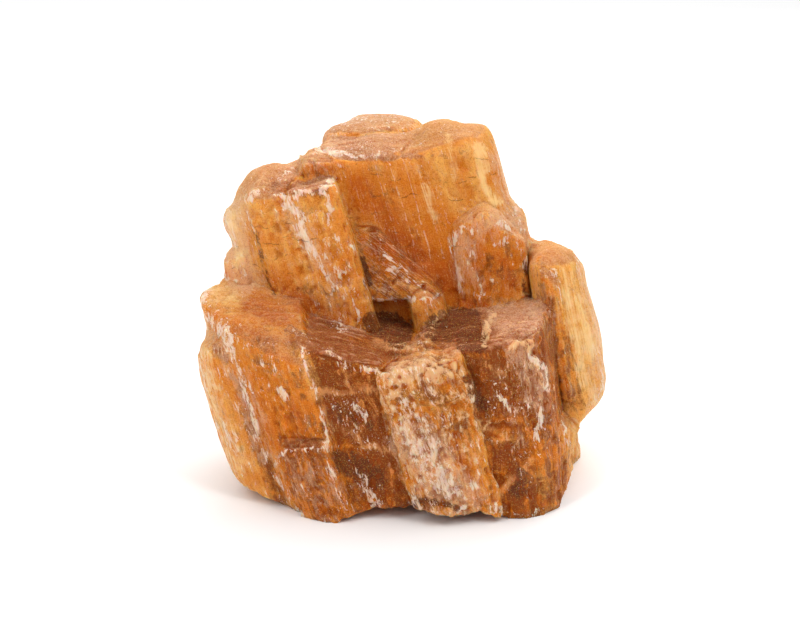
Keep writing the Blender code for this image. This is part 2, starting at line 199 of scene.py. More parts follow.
TINTS = {
    "tall_block": Tint(clear=1.0, golden=0.15, deep=0.25, lumpy=0.05),
    "tall_block_crest": Tint(clear=0.9, golden=0.6, pale=0.05, waxy=0.6, wear=1.0, lumpy=0.0),
    "pale_dome": Tint(clear=0.6, golden=0.7, pale=0.45, waxy=0.2, wear=1.0, lumpy=0.0),
    "notch_column": Tint(clear=0.5, golden=0.2, deep=0.2, pale=0.1, waxy=0.5, wear=0.3, lumpy=0.4),
    "left_block": Tint(clear=0.7, golden=0.25, deep=0.1, pale=0.1, crust=0.05, waxy=0.1),
    "left_block_front": Tint(clear=0.8, golden=0.25, deep=0.15, pale=0.3, crust=0.05),
    "left_block_side": Tint(clear=0.6, golden=0.9, pale=0.5, waxy=0.6, wear=0.8, lumpy=0.4),
    "left_lump": Tint(golden=0.6, pale=0.35, crust=0.1, waxy=0.7, wear=0.9, lumpy=0.8),
    "glassy_plate": Tint(clear=0.8, golden=0.05, deep=0.35, brown=0.25, pale=0.1, waxy=0.9, lumpy=1.0),
    "wedge_flake": Tint(golden=0.2, brown=0.45, pale=0.15, waxy=1.0, wear=0.05, lumpy=0.3),
    "recess_lump": Tint(clear=0.7, golden=0.3, deep=0.3, brown=0.1, pale=0.2, crust=0.1, waxy=0.8, wear=0.3,
                        lumpy=0.8),
    "side_sliver": Tint(golden=0.6, pale=0.3, waxy=0.8, wear=0.5, lumpy=0.5),
    "right_column": Tint(clear=0.8, golden=0.75, pale=0.2, waxy=0.4, wear=1.0, lumpy=0.4),
    "right_rib": Tint(deep=0.3, brown=0.6, pale=0.05, waxy=0.5, wear=0.3, lumpy=0.3),
    "right_foot": Tint(golden=0.5, deep=0.1, pale=0.2, crust=0.15, waxy=0.8, wear=0.7, lumpy=0.9),
    "right_shelf_block": Tint(deep=0.1, brown=0.85, pale=0.1, wear=0.15, lumpy=0.4),
    "crusted_rib": Tint(golden=0.3, brown=0.35, pale=0.45, crust=0.45, waxy=0.5, wear=0.2, lumpy=0.7),
    "brown_block": Tint(deep=0.15, brown=0.95, pale=0.02, lumpy=0.1),
    "shelf_floor": Tint(deep=0.3, brown=0.7, crust=0.05, lumpy=0.3),
    "corner_block": Tint(clear=0.4, golden=0.1, deep=0.25, brown=0.1, pale=0.2, waxy=0.85, wear=0.4,
                         lumpy=0.6),
    "corner_plate": Tint(brown=0.9, pale=0.25, waxy=0.6, lumpy=0.2),
    "pale_slab": Tint(clear=0.5, golden=0.75, brown=0.05, pale=0.5, waxy=0.8, wear=0.9, lumpy=0.5),
    "back_middle": Tint(clear=0.5, golden=0.3, deep=0.3, pale=0.4, crust=0.1, waxy=0.3, wear=0.3, lumpy=0.5),
    "back_left": Tint(clear=0.5, golden=0.1, deep=0.4, brown=0.2, pale=0.35, crust=0.1, wear=0.3, lumpy=0.4),
    "back_right": Tint(golden=0.1, deep=0.2, brown=0.6, pale=0.3, waxy=0.2, wear=0.3, lumpy=0.4),
    "back_low_left": Tint(golden=0.4, brown=0.3, pale=0.4, crust=0.15, waxy=0.4, wear=0.5, lumpy=0.6),
    "back_low_right": Tint(golden=0.1, deep=0.1, brown=0.8, pale=0.2, crust=0.1, wear=0.4, lumpy=0.5),
}

# Crystals whose fibres run down to the right instead of along their lean, and by how many degrees
CROSS_FIBRES = {"wedge_flake": 37.0}


def smooth(low, high, x):
    """Rises from 0 at low to 1 at high, as 3t^2 - 2t^3 of how far x has come between them."""
    t = np.clip((x - low) / (high - low), 0.0, 1.0)
    return t * t * (3.0 - 2.0 * t)


def lattice_value(cell, seed):
    """A number from -1 to 1 for each whole-number cell: its three coordinates are multiplied by large odd
    numbers, added and mixed by shifts, so that neighbours have unrelated values. The sums and products are
    meant to wrap round at 2^32, and numpy warns of one that does."""
    mixed = (cell[:, 0] * np.uint32(374761393) + cell[:, 1] * np.uint32(668265263)
             + cell[:, 2] * np.uint32(2246822519) + np.uint32(seed) * np.uint32(3266489917))
    mixed = (mixed ^ (mixed >> np.uint32(13))) * np.uint32(1274126177)
    mixed = (mixed ^ (mixed >> np.uint32(16))) * np.uint32(2654435761)
    return (mixed >> np.uint32(8)).astype(np.float64) / 2 ** 23 - 1.0


def ripple(points, seed):
    """Smooth noise from -1 to 1: the values at the eight corners of a point's cell, each weighted by the
    product of 6t^5 - 15t^4 + 10t^3 along the three axes."""
    low = np.floor(points)
    part = points - low
    part = part ** 3 * (part * (part * 6.0 - 15.0) + 10.0)
    cell = low.astype(np.int64).astype(np.uint32)
    total = np.zeros(len(points))
    for corner in range(8):
        offset = np.array([corner & 1, corner >> 1 & 1, corner >> 2 & 1], np.uint32)
        weight = np.prod(np.where(offset, part, 1.0 - part), axis=1)
        total += weight * lattice_value(cell + offset, seed)
    return total


def layered(points, layers, seed):
    """Noise summed over layers, each twice as fine and half as strong as the last, divided by their sum."""
    total = sum(ripple(points * 2.0 ** k, seed + k) / 2.0 ** k for k in range(layers))
    return total / sum(0.5 ** k for k in range(layers))


# The noises of the carving: the size of a cell in millimetres, the number of layers and the seed. The first
# seven are read at a point's place in its crystal's own directions, and the others at the point itself.
NOISES = {
    "lath": ((2.9, 2.9, 90.0), 2, 21),
    "sliver": ((1.0, 1.0, 40.0), 1, 31),
    "fibre": ((0.5, 0.5, 16.0), 1, 41),
    "sheet": ((3.2, 3.2, 13.0), 3, 45),
    "roll": ((5.0, 5.0, 9.0), 3, 111),
    "crumb": ((1.4, 1.4, 2.2), 2, 101),
    "pit": ((1.8, 1.8, 3.0), 2, 91),
    "lump": ((5.5, 5.5, 5.5), 2, 51),
    "grain": ((1.5, 1.5, 1.5), 3, 61),
    "ledge": ((7.0, 7.0, 4.0), 2, 71),
    "flow": ((4.5, 1.1, 2.0), 3, 66),
    "knob": ((4.2, 4.2, 4.2), 3, 105),
    "chip": ((2.6, 2.6, 2.6), 3, 81),
    "broad bend": ((4.0, 4.0, 4.0), 2, 400),
    "fine bend": ((1.3, 1.3, 1.3), 2, 410),
    "character": ((11.0, 11.0, 11.0), 2, 300),
}


def named_noise(name, points, seed_step=0):
    """One of the named noises at the points; a seed step gives another one of its kind."""
    cell, layers, seed = NOISES[name]
    return layered(points / np.array(cell), layers, seed + seed_step)


def stepped(x, sharpness):
    """Terraces: the whole part of x plus a short, steep rise in the middle of its fraction."""
    low = np.floor(x)
    return low + np.clip((x - low - 0.5) * sharpness + 0.5, 0.0, 1.0)


def side_distance(crystal, points):
    """Where each point lies in plan once it has slid down the crystal's lean to height zero, and the
    largest and the second largest of its distances from there over the footprint's edges."""
    footprint, lean = np.array(crystal[0]), crystal[1]
    plan = points[:, :2] - points[:, 2:] * np.array(lean)
    along = np.roll(footprint, -1, axis=0) - footprint
    outwards = np.stack((along[:, 1], -along[:, 0]), axis=1) / np.linalg.norm(along, axis=1)[:, None]
    over = np.einsum("nk,ek->ne", plan, outwards) - np.sum(footprint * outwards, axis=1)
    over.sort(axis=1)
    return plan, over[:, -1], over[:, -2]


def end_distance(planes, points, upwards):
    """How far each point is beyond the planes that end a crystal: the largest of its distances over them."""
    far = np.full(len(points), -1e3)
    for height, right, back in planes:
        rise = height + right * points[:, 0] + back * points[:, 1]
        far = np.maximum(far, upwards * (points[:, 2] - rise) / math.hypot(1.0, right, back))
    return far


def crystal_distances(points):
    """For each crystal in turn: where the points lie in its plan, and how far they are outside its sides, its
    second nearest side, its top and its lower end."""
    for crystal in CRYSTALS.values():
        plan, side, next_side = side_distance(crystal, points)
        top = end_distance(crystal[2], points, 1.0)
        bottom = end_distance(crystal[3], points, -1.0)
        yield plan, side, next_side, top, bottom


def cluster_distance(points):
    """How far each point is outside the nearest crystal; negative inside."""
    nearest = np.full(len(points), 1e9)
    for _, side, _, top, bottom in crystal_distances(points):
        nearest = np.minimum(nearest, np.maximum(side, np.maximum(top, bottom)))
    return nearest


def cross_place(name, points):
    """The points in the directions of the crystal's own fibres, which are turned in the front's plane."""
    angle = math.radians(CROSS_FIBRES[name])
    c, s = math.cos(angle), math.sin(angle)
    x, y, z = points.T
    return np.column_stack((x * s + z * c, y, x * c - z * s))


def placed(points):
    """For each point, its place in the own directions of the crystal whose surface is nearest, how much it
    is on a broken top rather than on a side, its distance to the crystal's nearest edge, and each crystal's
    share in it. A share falls off exponentially with how much further that crystal is, over a longer way
    for worn ones."""
    count = len(points)
    nearest = np.full(count, 1e9)
    place = np.zeros((count, 3))
    broken = np.zeros(count)
    edge = np.zeros(count)
    gaps = np.empty((count, len(CRYSTALS)))
    for index, (name, distances) in enumerate(zip(CRYSTALS, crystal_distances(points))):
        plan, side, next_side, top, bottom = distances
        end = np.maximum(top, bottom)
        gap = np.abs(np.maximum(side, end))
        gaps[:, index] = gap
        mine = gap < nearest
        nearest[mine] = gap[mine]
        if name in CROSS_FIBRES:
            place[mine] = cross_place(name, points[mine])
            broken[mine] = 0.0
        else:
            place[mine] = np.column_stack((plan, points[:, 2]))[mine]
            broken[mine] = smooth(-BREAK_BLEND, BREAK_BLEND, top - side)[mine]
        second = np.where(end > side, side, np.maximum(end, next_side))
        edge[mine] = np.abs(second)[mine]
    softness = SHARE_REACH + WORN_SHARE_REACH * np.array([TINTS[name].wear for name in CRYSTALS])
    shares = np.exp((nearest[:, None] - gaps) / softness)
    return place, broken, edge, shares / shares.sum(axis=1)[:, None]


def tint(name, shares):
    """How much of one character each point has: the crystals' own amounts by their shares."""
    return shares @ np.array([getattr(TINTS[crystal], name) for crystal in CRYSTALS])


def sheltered(points, normals):
    """How much the crystals around a point close it in: the mean, over several reaches straight out from the
    surface, of the share of the reach by which the nearest crystal is closer than it."""
    total = np.zeros(len(points))
    for reach in SHELTER_REACHES:
        total += np.clip(1.0 - cluster_distance(points + normals * reach) / reach, 0.0, 1.0)
    return total / len(SHELTER_REACHES)


def thinness(points, normals):
    """How thin the cluster is under a point: the mean, over several reaches straight in from the surface,
    of the share of the reach by which the way to the nearest face is shorter than it."""
    total = np.zeros(len(points))
    for reach in THIN_REACHES:
        total += np.clip(1.0 + cluster_distance(points - normals * reach) / reach, 0.0, 1.0)
    return total / len(THIN_REACHES)


def seen_from_front(points):
    """Where each point falls in the front view, across and down in its pixels."""
    towards = np.array((0.0, math.cos(VIEW_ELEVATION), -math.sin(VIEW_ELEVATION)))
    up = np.array((0.0, math.sin(VIEW_ELEVATION), math.cos(VIEW_ELEVATION)))
    away = points - (VIEW_TARGET - towards * VIEW_DISTANCE)
    depth = away @ towards
    scale = VIEW_SIZE[0] * VIEW_LENS / VIEW_SENSOR
    return VIEW_SIZE[0] / 2 + scale * away[:, 0] / depth, VIEW_SIZE[1] / 2 - scale * (away @ up) / depth


def facing_front(normals):
    """How much each normal faces the front view: 0 where it is edge on or faces away, rising smoothly to 1
    where it is clearly turned towards it."""
    towards_viewer = -normals[:, 1] * math.cos(VIEW_ELEVATION) + normals[:, 2] * math.sin(VIEW_ELEVATION)
    return smooth(0.0, 0.25, towards_viewer)


# Rounded fullness of the outline: the middle and the radius of each swelling and how far it moves its middle,
# all in millimetres from the drawing origin
SWELLINGS = {
    "dome, left shoulder": ((-13.0, 20.0, 64.0), 7.0, (-1.0, 0.0, 0.8)),
    "saddle beside the dome": ((6.5, 16.5, 64.5), 7.5, (0.0, 0.0, 2.8)),
    "in front of the dome": ((-4.0, 13.5, 62.5), 9.0, (0.0, 0.0, 1.8)),
    "crest, middle": ((10.0, 12.0, 65.0), 8.0, (0.0, 0.0, 0.3)),
    "left block, top": ((-27.0, 8.0, 57.0), 8.0, (-1.1, 0.0, 1.7)),
    "left laths": ((-34.0, 5.0, 47.5), 7.0, (-1.3, 0.0, 0.0)),
    "sliver behind the plate": ((23.0, 13.0, 47.0), 6.0, (1.0, 0.0, 1.6)),
    "right column, top": ((31.0, 6.0, 43.5), 9.0, (0.5, 0.0, 1.5)),
    "right column, side": ((40.0, 6.0, 26.0), 12.0, (1.5, 0.0, 0.0)),
    "right column, low": ((41.0, 6.0, 14.0), 7.0, (0.8, 0.0, 0.0)),
    "slab, side": ((-39.0, -4.0, 14.0), 14.0, (-0.8, 0.0, 0.0)),
    "corner block, top left": ((-37.0, -2.0, 37.5), 7.0, (-0.8, 0.0, 0.8)),
    "crest, right corner": ((17.0, 11.0, 66.0), 6.0, (-0.8, 0.0, -0.8)),
    "between the dome and the crest": ((1.0, 15.0, 64.0), 8.0, (0.0, 0.0, 0.6)),
    "corner block, rounded left of its top": ((-31.0, -13.5, 31.5), 9.0, (0.0, 0.0, 0.3)),
    "corner block, rounded front of its top": ((-22.0, -19.0, 31.0), 9.0, (0.0, 0.0, 0.3)),
}


def fullness(points):
    """For each swelling in turn, how strongly it acts at each point, and its move. The strength is 1 at its
    middle and 0 at its radius: the square of one less the squared share of the radius."""
    for middle, radius, move in SWELLINGS.values():
        share = np.sum(np.square(points - np.array(middle)), axis=1) / radius ** 2
        yield np.square(np.clip(1.0 - share, 0.0, 1.0)), np.array(move)


def side_relief(place, size):
    """The height of a crystal's sides: noise drawn out far along it is cut into terraces, which gives
    straight laths and slivers, shorter noise is cut at two levels, which gives loosened sheets with ragged
    ends, and fine noise gives fibres."""
    lath = stepped(named_noise("lath", place) * 3.0, 9.0) / 3.0
    sliver = stepped(named_noise("sliver", place) * 1.6, 5.0) / 1.6
    sheet = named_noise("sheet", place)
    sheets = smooth(0.1, 0.15, sheet) + smooth(0.3, 0.34, sheet)
    return (size.lath * lath + size.sliver * sliver + size.fibre * named_noise("fibre", place)
            + size.sheet * sheets)


def break_relief(points, size):
    """The height of a broken top: round lumps, grains, ridges that flow across it and a few low terraces."""
    ledge = stepped(named_noise("ledge", points) * 3.0, 6.0) / 3.0
    return (size.lump * named_noise("lump", points) + size.grain * named_noise("grain", points)
            + size.flow * named_noise("flow", points) + 0.4 * size.lump * ledge)


def relief(points, place, broken, edge, crust, lumpy, wear, clear, size):
    """How far each point moves along its normal, in millimetres.

    Clear and worn crystals have less of the sides' relief, and worn ones less of the breaks'. Lumpy
    crystals roll, with crests where the noise changes sign, and crusted places have knobs. Close to an
    edge, the bright parts of another noise are taken off as chips, and small pits are taken off crusted and
    lumpy places.
    """
    side = side_relief(place, size) * (1.0 - broken) * (1.0 - 0.5 * clear) * (1.0 - 0.4 * wear)
    end = break_relief(points, size) * broken * (1.0 - 0.75 * wear)
    knobs = 1.5 * named_noise("knob", points) + 0.35 * named_noise("crumb", place) + 0.25
    rolling = 0.35 - np.abs(named_noise("roll", place))
    chip = smooth(0.05, 0.6, named_noise("chip", points) + 0.15) * (1.0 - 0.9 * wear)
    pit = smooth(0.3, 0.45, named_noise("pit", place)) * (0.5 * crust + 0.4 * lumpy)
    return (side + end + size.crust * knobs * crust + size.roll * rolling * lumpy
            - size.chip * chip * np.exp(-np.square(edge / size.chip_reach)) - size.pit * pit)


def worn(mesh, points, wear, rounds):
    """The points after rounds of moving each one halfway, times its wear, to the mean of its neighbours."""
    edges = np.empty(len(mesh.edges) * 2, np.int32)
    mesh.edges.foreach_get("vertices", edges)
    first, second = edges.reshape(-1, 2).T
    count = len(points)
    degree = np.bincount(first, minlength=count) + np.bincount(second, minlength=count)
    share = (0.5 * wear / degree)[:, None]
    for _ in range(rounds):
        total = np.empty_like(points)
        for axis in range(3):
            total[:, axis] = (np.bincount(first, points[second, axis], count)
                              + np.bincount(second, points[first, axis], count))
        points = points * (1.0 - 0.5 * wear)[:, None] + total * share
    return points


def mesh_arrays(mesh):
    """The mesh's points and point normals, the points in millimetres."""
    co = np.empty(len(mesh.vertices) * 3, np.float32)
    mesh.vertices.foreach_get("co", co)
    normals = np.empty(len(mesh.vertices) * 3, np.float32)
    mesh.vertex_normals.foreach_get("vector", normals)
    return co.reshape(-1, 3).astype(float) / MM, normals.reshape(-1, 3).astype(float)


def put_points(mesh, points):
    """Sets the mesh's points, given in millimetres."""
    mesh.vertices.foreach_set("co", (points * MM).astype(np.float32).ravel())
    mesh.update()


def with_modifier(obj, kind, **settings):
    """Gives the object one modifier's result as its mesh."""
    modifier = obj.modifiers.new(kind.lower(), kind)
    for name, value in settings.items():
        setattr(modifier, name, value)
    graph = bpy.context.evaluated_depsgraph_get()
    mesh = bpy.data.meshes.new_from_object(obj.evaluated_get(graph))
    obj.modifiers.clear()
    obj.data = mesh


def carved_cluster(size):
    """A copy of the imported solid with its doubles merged, remeshed into small equal cells, worn at its edges,
    filled out by the swellings and by how far it was worn, moved along its normals by the relief, and thinned
    until it is light enough to share."""
    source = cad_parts["selenite_cluster"]
    piece = bpy.data.objects.new(PIECE, source.data.copy())
    bpy.context.scene.collection.objects.link(piece)
    with_modifier(piece, "WELD", merge_threshold=MERGE_DISTANCE)
    with_modifier(piece, "REMESH", mode="VOXEL", voxel_size=size.cell, adaptivity=0.0)
    points, _ = mesh_arrays(piece.data)
    above_ground = smooth(*GROUND_FADE, points[:, 2])
    place, broken, edge, shares = placed(points - DRAWING_ORIGIN)
    wear = tint("wear", shares)
    swelling = np.zeros_like(points)
    for strength, move in fullness(points - DRAWING_ORIGIN):
        wear = np.maximum(wear, np.sqrt(strength))
        swelling += strength[:, None] * move
    rounding = (LEAST_WEAR + (1.0 - LEAST_WEAR) * wear) * above_ground
    put_points(piece.data, worn(piece.data, points, rounding, size.wear_rounds) + swelling)
    points, normals = mesh_arrays(piece.data)
    points += normals * (size.refill * wear * above_ground)[:, None]
    drawn = points - DRAWING_ORIGIN
    crust = surface_levels(drawn, normals, shares)["crust"]
    lumpy, clear = tint("lumpy", shares), tint("clear", shares)
    moved = relief(drawn, place, broken, edge, crust, lumpy, wear, clear, size)
    points += normals * (moved * above_ground)[:, None]
    points[:, 2] = np.maximum(points[:, 2], 0.0)
    put_points(piece.data, points)
    triangles = len(piece.data.polygons) * 2
    with_modifier(piece, "DECIMATE", ratio=min(1.0, size.triangles / triangles))
    return piece


# What the front shows, drawn as lines through pixels of the front view. Each line has a half width in pixels,
# a strength, and two or more corners.
MARKS = {
    "pale": {
        "left block, flaked band": (7, 1.0, ((289, 207), (305, 216), (301, 228), (309, 246), (321, 257))),
        "left block, foot of the band": (4, 0.9, ((321, 257), (324, 272), (331, 285), (330, 296))),
        "left block, low flake": (7, 1.0, ((337, 319), (341, 328))),
        "left block, upper flakes": (4, 0.8, ((324, 194), (331, 206), (329, 226))),
        "left block, long splinters": (3, 0.9, ((352, 296), (361, 318))),
        "left block, short splinters": (3, 0.7, ((344, 266), (352, 290))),
        "left block, rim": (4, 0.8, ((247, 200), (262, 188), (275, 193), (290, 199), (303, 193))),
        "left block, rim at the corner": (4, 1.0, ((303, 193), (318, 192), (334, 181))),
        "left block, back break": (4, 0.7, ((278, 178), (292, 168))),
        "left laths": (6, 0.7, ((232, 205), (229, 222), (238, 250), (246, 272))),
        "left laths, inner": (4, 0.6, ((243, 208), (256, 250))),
        "ledge under the dome": (4, 1.0, ((317, 151), (340, 152), (364, 156))),
        "ledge, flakes below": (3, 0.8, ((338, 166), (352, 172))),
        "tall block, rim": (3, 0.6, ((366, 156), (394, 154), (420, 143), (440, 136))),
        "right rim of the tall block": (4, 0.5, ((496, 160), (505, 200), (516, 236))),
        "plate, torn top": (4, 0.8, ((455, 233), (464, 228), (474, 229))),
        "plate, torn left edge": (4, 0.8, ((455, 233), (451, 254), (457, 268), (458, 290))),
        # The three glints of the plate are painted highlights.
        "plate, upper glint": (5, 1.0, ((500, 225), (511, 231))),
        "plate, middle glints": (4, 0.8, ((490, 246), (508, 239))),
        "plate, low glint": (4, 1.0, ((473, 291), (479, 293))),
        "plate, inner step": (3, 0.7, ((476, 238), (466, 262), (478, 278), (484, 296))),
        "plate, right edge": (3, 0.5, ((518, 240), (521, 290))),
        "shelf, left edge": (3, 0.7, ((292, 326), (320, 346), (346, 362))),
        "sliver": (5, 0.8, ((515, 208), (522, 230))),
        "flake, upper rim": (3, 0.7, ((366, 244), (380, 240), (385, 254), (402, 268), (422, 279))),
        "flake, lower rim": (3, 0.9, ((372, 298), (400, 300), (420, 296), (438, 295))),
        "flake, folds": (3, 0.7, ((372, 260), (398, 275), (424, 288))),
        "lumps beside the recess": (6, 0.5, ((424, 298), (434, 310))),
        "corner block, top left": (4, 0.8, ((204, 302), (212, 284), (224, 276), (238, 282))),
        "corner block, upper edge": (5, 0.9, ((205, 316), (221, 334), (238, 372))),
        "corner block, long edge": (4, 1.0, ((238, 372), (252, 412), (265, 458))),
        "corner block, flakes": (4, 0.8, ((242, 372), (250, 390))),
        "corner block, upper flakes": (7, 0.7, ((222, 328), (236, 344))),
        "corner block, middle flake": (5, 1.0, ((280, 388), (284, 397))),
        "corner block, right flakes": (4, 0.6, ((270, 362), (276, 372))),
        "corner plate, left edge": (4, 0.8, ((276, 455), (276, 470), (290, 500), (302, 516))),
        "corner plate, right edge": (4, 0.7, ((310, 450), (322, 448), (336, 488), (344, 504))),
        "corner plate, middle": (3, 0.6, ((298, 462), (308, 500))),
        "brown block, low flake": (6, 0.9, ((364, 484), (372, 504))),
        "brown block, splinter": (3, 0.9, ((355, 468), (360, 477))),
        "brown block, middle flakes": (5, 0.9, ((353, 408), (364, 418))),
        "brown block, left edge": (3, 0.9, ((301, 352), (316, 398), (330, 450))),
        "brown block, top edge": (4, 0.9, ((342, 364), (358, 368), (376, 370))),
        "right block, long edge": (4, 0.9, ((530, 356), (544, 370), (547, 390))),
        "right block, low edge": (3, 0.9, ((543, 410), (536, 438))),
        "right block, flakes": (4, 0.7, ((498, 396), (508, 412))),
        "rib, low flakes": (14, 0.8, ((416, 446), (436, 470), (452, 488))),
        "rib, upper flakes": (8, 0.7, ((404, 400), (420, 420))),
        "corner plate, top edge": (3, 0.7, ((273, 457), (292, 449), (322, 447))),
        "dome": (13, 0.7, ((336, 122), (364, 116), (394, 118))),
        "rib, left flakes": (5, 0.8, ((396, 425), (404, 444))),
        "rib, low ledge": (5, 0.8, ((416, 480), (446, 486))),
        "rib, right flakes": (4, 0.8, ((432, 438), (437, 456))),
        "rib, foot": (4, 0.7, ((466, 466), (478, 492))),
        "right foot": (4, 0.8, ((560, 420), (568, 442))),
        "right column, side": (5, 0.7, ((592, 340), (606, 382), (596, 398))),
        "right column, inner corner": (4, 0.8, ((524, 270), (527, 258))),
        "right column, shoulder": (6, 0.6, ((574, 252), (588, 290))),
        "right column, front": (4, 0.7, ((554, 270), (562, 298))),
    },
    "crust": {
        "ridge, left arm": (5, 0.6, ((426, 352), (412, 346), (396, 344))),
        "ridge, right arm": (5, 0.6, ((422, 350), (431, 330), (441, 314))),
        "ridge, foot": (5, 0.6, ((426, 352), (440, 356))),
        "rib, top": (15, 1.0, ((394, 376), (424, 370), (450, 368))),
        "rib, left": (12, 0.8, ((394, 392), (402, 430))),
        "rib, low left": (8, 0.6, ((404, 450), (412, 490))),
        "rib, right": (6, 0.6, ((456, 384), (466, 430), (480, 476))),
        "shelf, chip": (4, 1.4, ((491, 316), (485, 340))),
        "right block, crust": (6, 1.0, ((516, 343), (528, 346), (532, 356))),
        "right block, crusted edge": (5, 0.7, ((532, 360), (542, 384))),
        "right block, middle": (6, 0.6, ((482, 424), (500, 430), (518, 440))),
        "left block, top": (6, 0.6, ((264, 184), (252, 196))),
        "left block, back top": (5, 0.5, ((296, 166), (316, 152))),
        "right column, top": (5, 0.5, ((528, 246), (548, 240), (572, 250))),
        "right foot": (6, 0.7, ((574, 420), (580, 440), (574, 468))),
    },
    "vein": {
        "brown block, cross vein": (4, 1.0, ((312, 393), (328, 390), (342, 393), (362, 388), (384, 391))),
        "brown block, upright vein": (3, 0.7, ((343, 364), (351, 390))),
        "brown block, low vein": (4, 0.9, ((352, 432), (362, 447), (378, 448), (396, 455))),
        "brown block, left rim": (6, 0.8, ((300, 350), (308, 374), (322, 412), (330, 446))),
        "brown block, right rim": (5, 0.7, ((378, 374), (388, 404), (398, 440), (404, 480))),
        "brown block, low haze": (7, 0.4, ((326, 432), (348, 424), (374, 428))),
        "ridge, left arm": (4, 1.0, ((376, 343), (396, 345), (426, 352))),
        "ridge, right arm": (4, 1.0, ((426, 352), (432, 330), (441, 312))),
        "right block, slanted vein": (4, 1.0, ((533, 459), (524, 471), (510, 482), (494, 503))),
        "right block, edge of the hollow": (5, 0.8, ((466, 372), (470, 400), (478, 424), (494, 430))),
        "right block, under the crust": (6, 0.6, ((484, 366), (500, 372), (512, 366))),
    },
    # Golden is the lighter crystal and, on the crest's right, the right column and the marks named glow,
    # painted glow of light coming through thin parts.
    "golden": {
        "left block, upper left": (13, 0.7, ((262, 208), (268, 228))),
        "left block, upper right": (11, 0.6, ((320, 208), (334, 240))),
        "left block, middle": (8, 0.6, ((300, 206), (308, 220))),
        "crest, front": (17, 0.9, ((440, 160), (456, 200))),
        "crest, right": (11, 1.0, ((470, 150), (488, 212))),
        "tall block, upper": (12, 0.4, ((400, 168), (430, 200))),
        "corner block, top left": (15, 1.0, ((214, 290), (232, 298))),
        "corner block, top right": (9, 0.6, ((268, 318), (288, 348))),
        "corner block, right rim": (8, 1.0, ((292, 348), (308, 366), (314, 392))),
        "corner block, left": (10, 0.3, ((230, 352), (244, 372))),
        "right column, inner front": (11, 0.8, ((532, 264), (534, 300))),
        "right column, front": (13, 0.9, ((568, 270), (584, 340), (592, 392))),
        "right foot": (10, 0.8, ((576, 430), (574, 470))),
        "right block, foot": (9, 0.6, ((548, 468), (552, 504))),
        "right block, middle": (8, 0.9, ((486, 428), (512, 442))),
        "rib, middle": (12, 0.7, ((410, 396), (440, 404))),
        "strip beside the brown rib": (5, 0.8, ((546, 320), (552, 350))),
        "left block, foot": (6, 0.6, ((346, 326), (372, 330))),
        "shelf, right": (16, 1.0, ((504, 320), (530, 318))),
        "right block, upper glow": (10, 0.7, ((500, 372), (516, 384))),
        "right block, foot glow": (8, 0.8, ((540, 476), (546, 500))),
        "shelf, beside the ridge": (5, 0.9, ((414, 352), (426, 330), (436, 316))),
        "recess": (8, 0.5, ((384, 306), (404, 308), (420, 306))),
        "ridge": (5, 0.9, ((376, 343), (396, 345), (426, 352), (432, 330), (441, 312))),
    },
    # Deep is the darker amber of thick crystal and, in these places, painted shade where less light reaches:
    # low on the tall block, at the feet of the crystals, beneath the plate and beneath the rib's knobs.
    "deep": {
        "tall block, painted shade low down": (22, 1.0, ((392, 244), (426, 270), (444, 278))),
        "tall block, left": (14, 0.7, ((376, 210), (400, 228))),
        "tall block, upper left": (12, 0.7, ((362, 182), (370, 206))),
        "notch": (9, 0.9, ((313, 166), (328, 170))),
        "left block, foot": (17, 0.8, ((296, 296), (332, 322))),
        "left block, left foot": (10, 0.7, ((268, 276), (290, 300))),
        "beside the left block": (9, 0.6, ((344, 190), (352, 214))),
        "plate, left": (12, 0.7, ((474, 250), (486, 282))),
        "plate, right": (10, 0.8, ((500, 262), (512, 284))),
        "corner block, right": (11, 0.9, ((294, 408), (308, 446))),
        "corner block, middle": (15, 0.7, ((250, 398), (264, 440))),
        "corner block, top": (11, 0.9, ((250, 306), (280, 316))),
        "corner block, break of its top": (8, 0.7, ((232, 330), (262, 334), (290, 344))),
        "strip beside the brown rib": (6, 0.8, ((548, 306), (550, 322))),
        "rib, painted shade beneath the knobs": (6, 0.6, ((396, 382), (412, 396))),
        "rib, low": (11, 0.5, ((412, 424), (440, 440))),
        "rib, right foot": (8, 0.6, ((450, 440), (466, 474))),
        "painted shade beneath the plate": (8, 0.8, ((462, 300), (482, 304))),
        "left block, tip": (8, 0.7, ((330, 328), (345, 334))),
        "right block, low": (10, 0.5, ((498, 456), (514, 452))),
    },
    "brown": {
        "left block, low break": (8, 0.6, ((276, 186), (300, 190), (322, 186))),
        "right rib": (6, 0.9, ((549, 300), (552, 340), (558, 384))),
        "under the corner plate": (8, 0.8, ((268, 466), (278, 504))),
        "corner plate": (20, 0.9, ((300, 470), (322, 494))),
        "laths beside the slab": (5, 0.7, ((216, 340), (246, 400), (264, 470))),
        "rib, foot": (12, 0.7, ((430, 504), (456, 484))),
        "rib, middle": (12, 0.6, ((420, 436), (450, 446))),
        "flake": (9, 0.4, ((376, 280), (410, 288))),
        "plate, middle": (10, 0.5, ((478, 256), (500, 270))),
    },
    # Dark is the dark velvet of the shelf and, in some places, painted shadow and shade: below the rib, in a
    # hollow of the right block and in the crack next to the left block.
    "dark": {
        "shelf, left velvet": (12, 1.6, ((380, 324), (398, 332))),
        "shelf, right velvet": (14, 1.1, ((440, 328), (466, 322), (472, 338))),
        "right block, painted shade in the hollow": (7, 0.8, ((471, 378), (474, 392), (482, 408))),
        "right block, dark facet": (8, 0.7, ((522, 474), (516, 492))),
        "painted shadow in the crack beside the left block": (3, 0.9, ((364, 258), (368, 284))),
        "brown block, low": (13, 0.7, ((342, 462), (376, 478))),
        "brown block, middle": (12, 0.45, ((330, 412), (370, 424))),
        "left block, crack": (3, 0.5, ((255, 226), (260, 250), (272, 296))),
        "right column, crack": (3, 0.6, ((524, 262), (526, 296))),
        "painted shadow under the rib": (4, 0.7, ((400, 508), (430, 501), (460, 508))),
    },
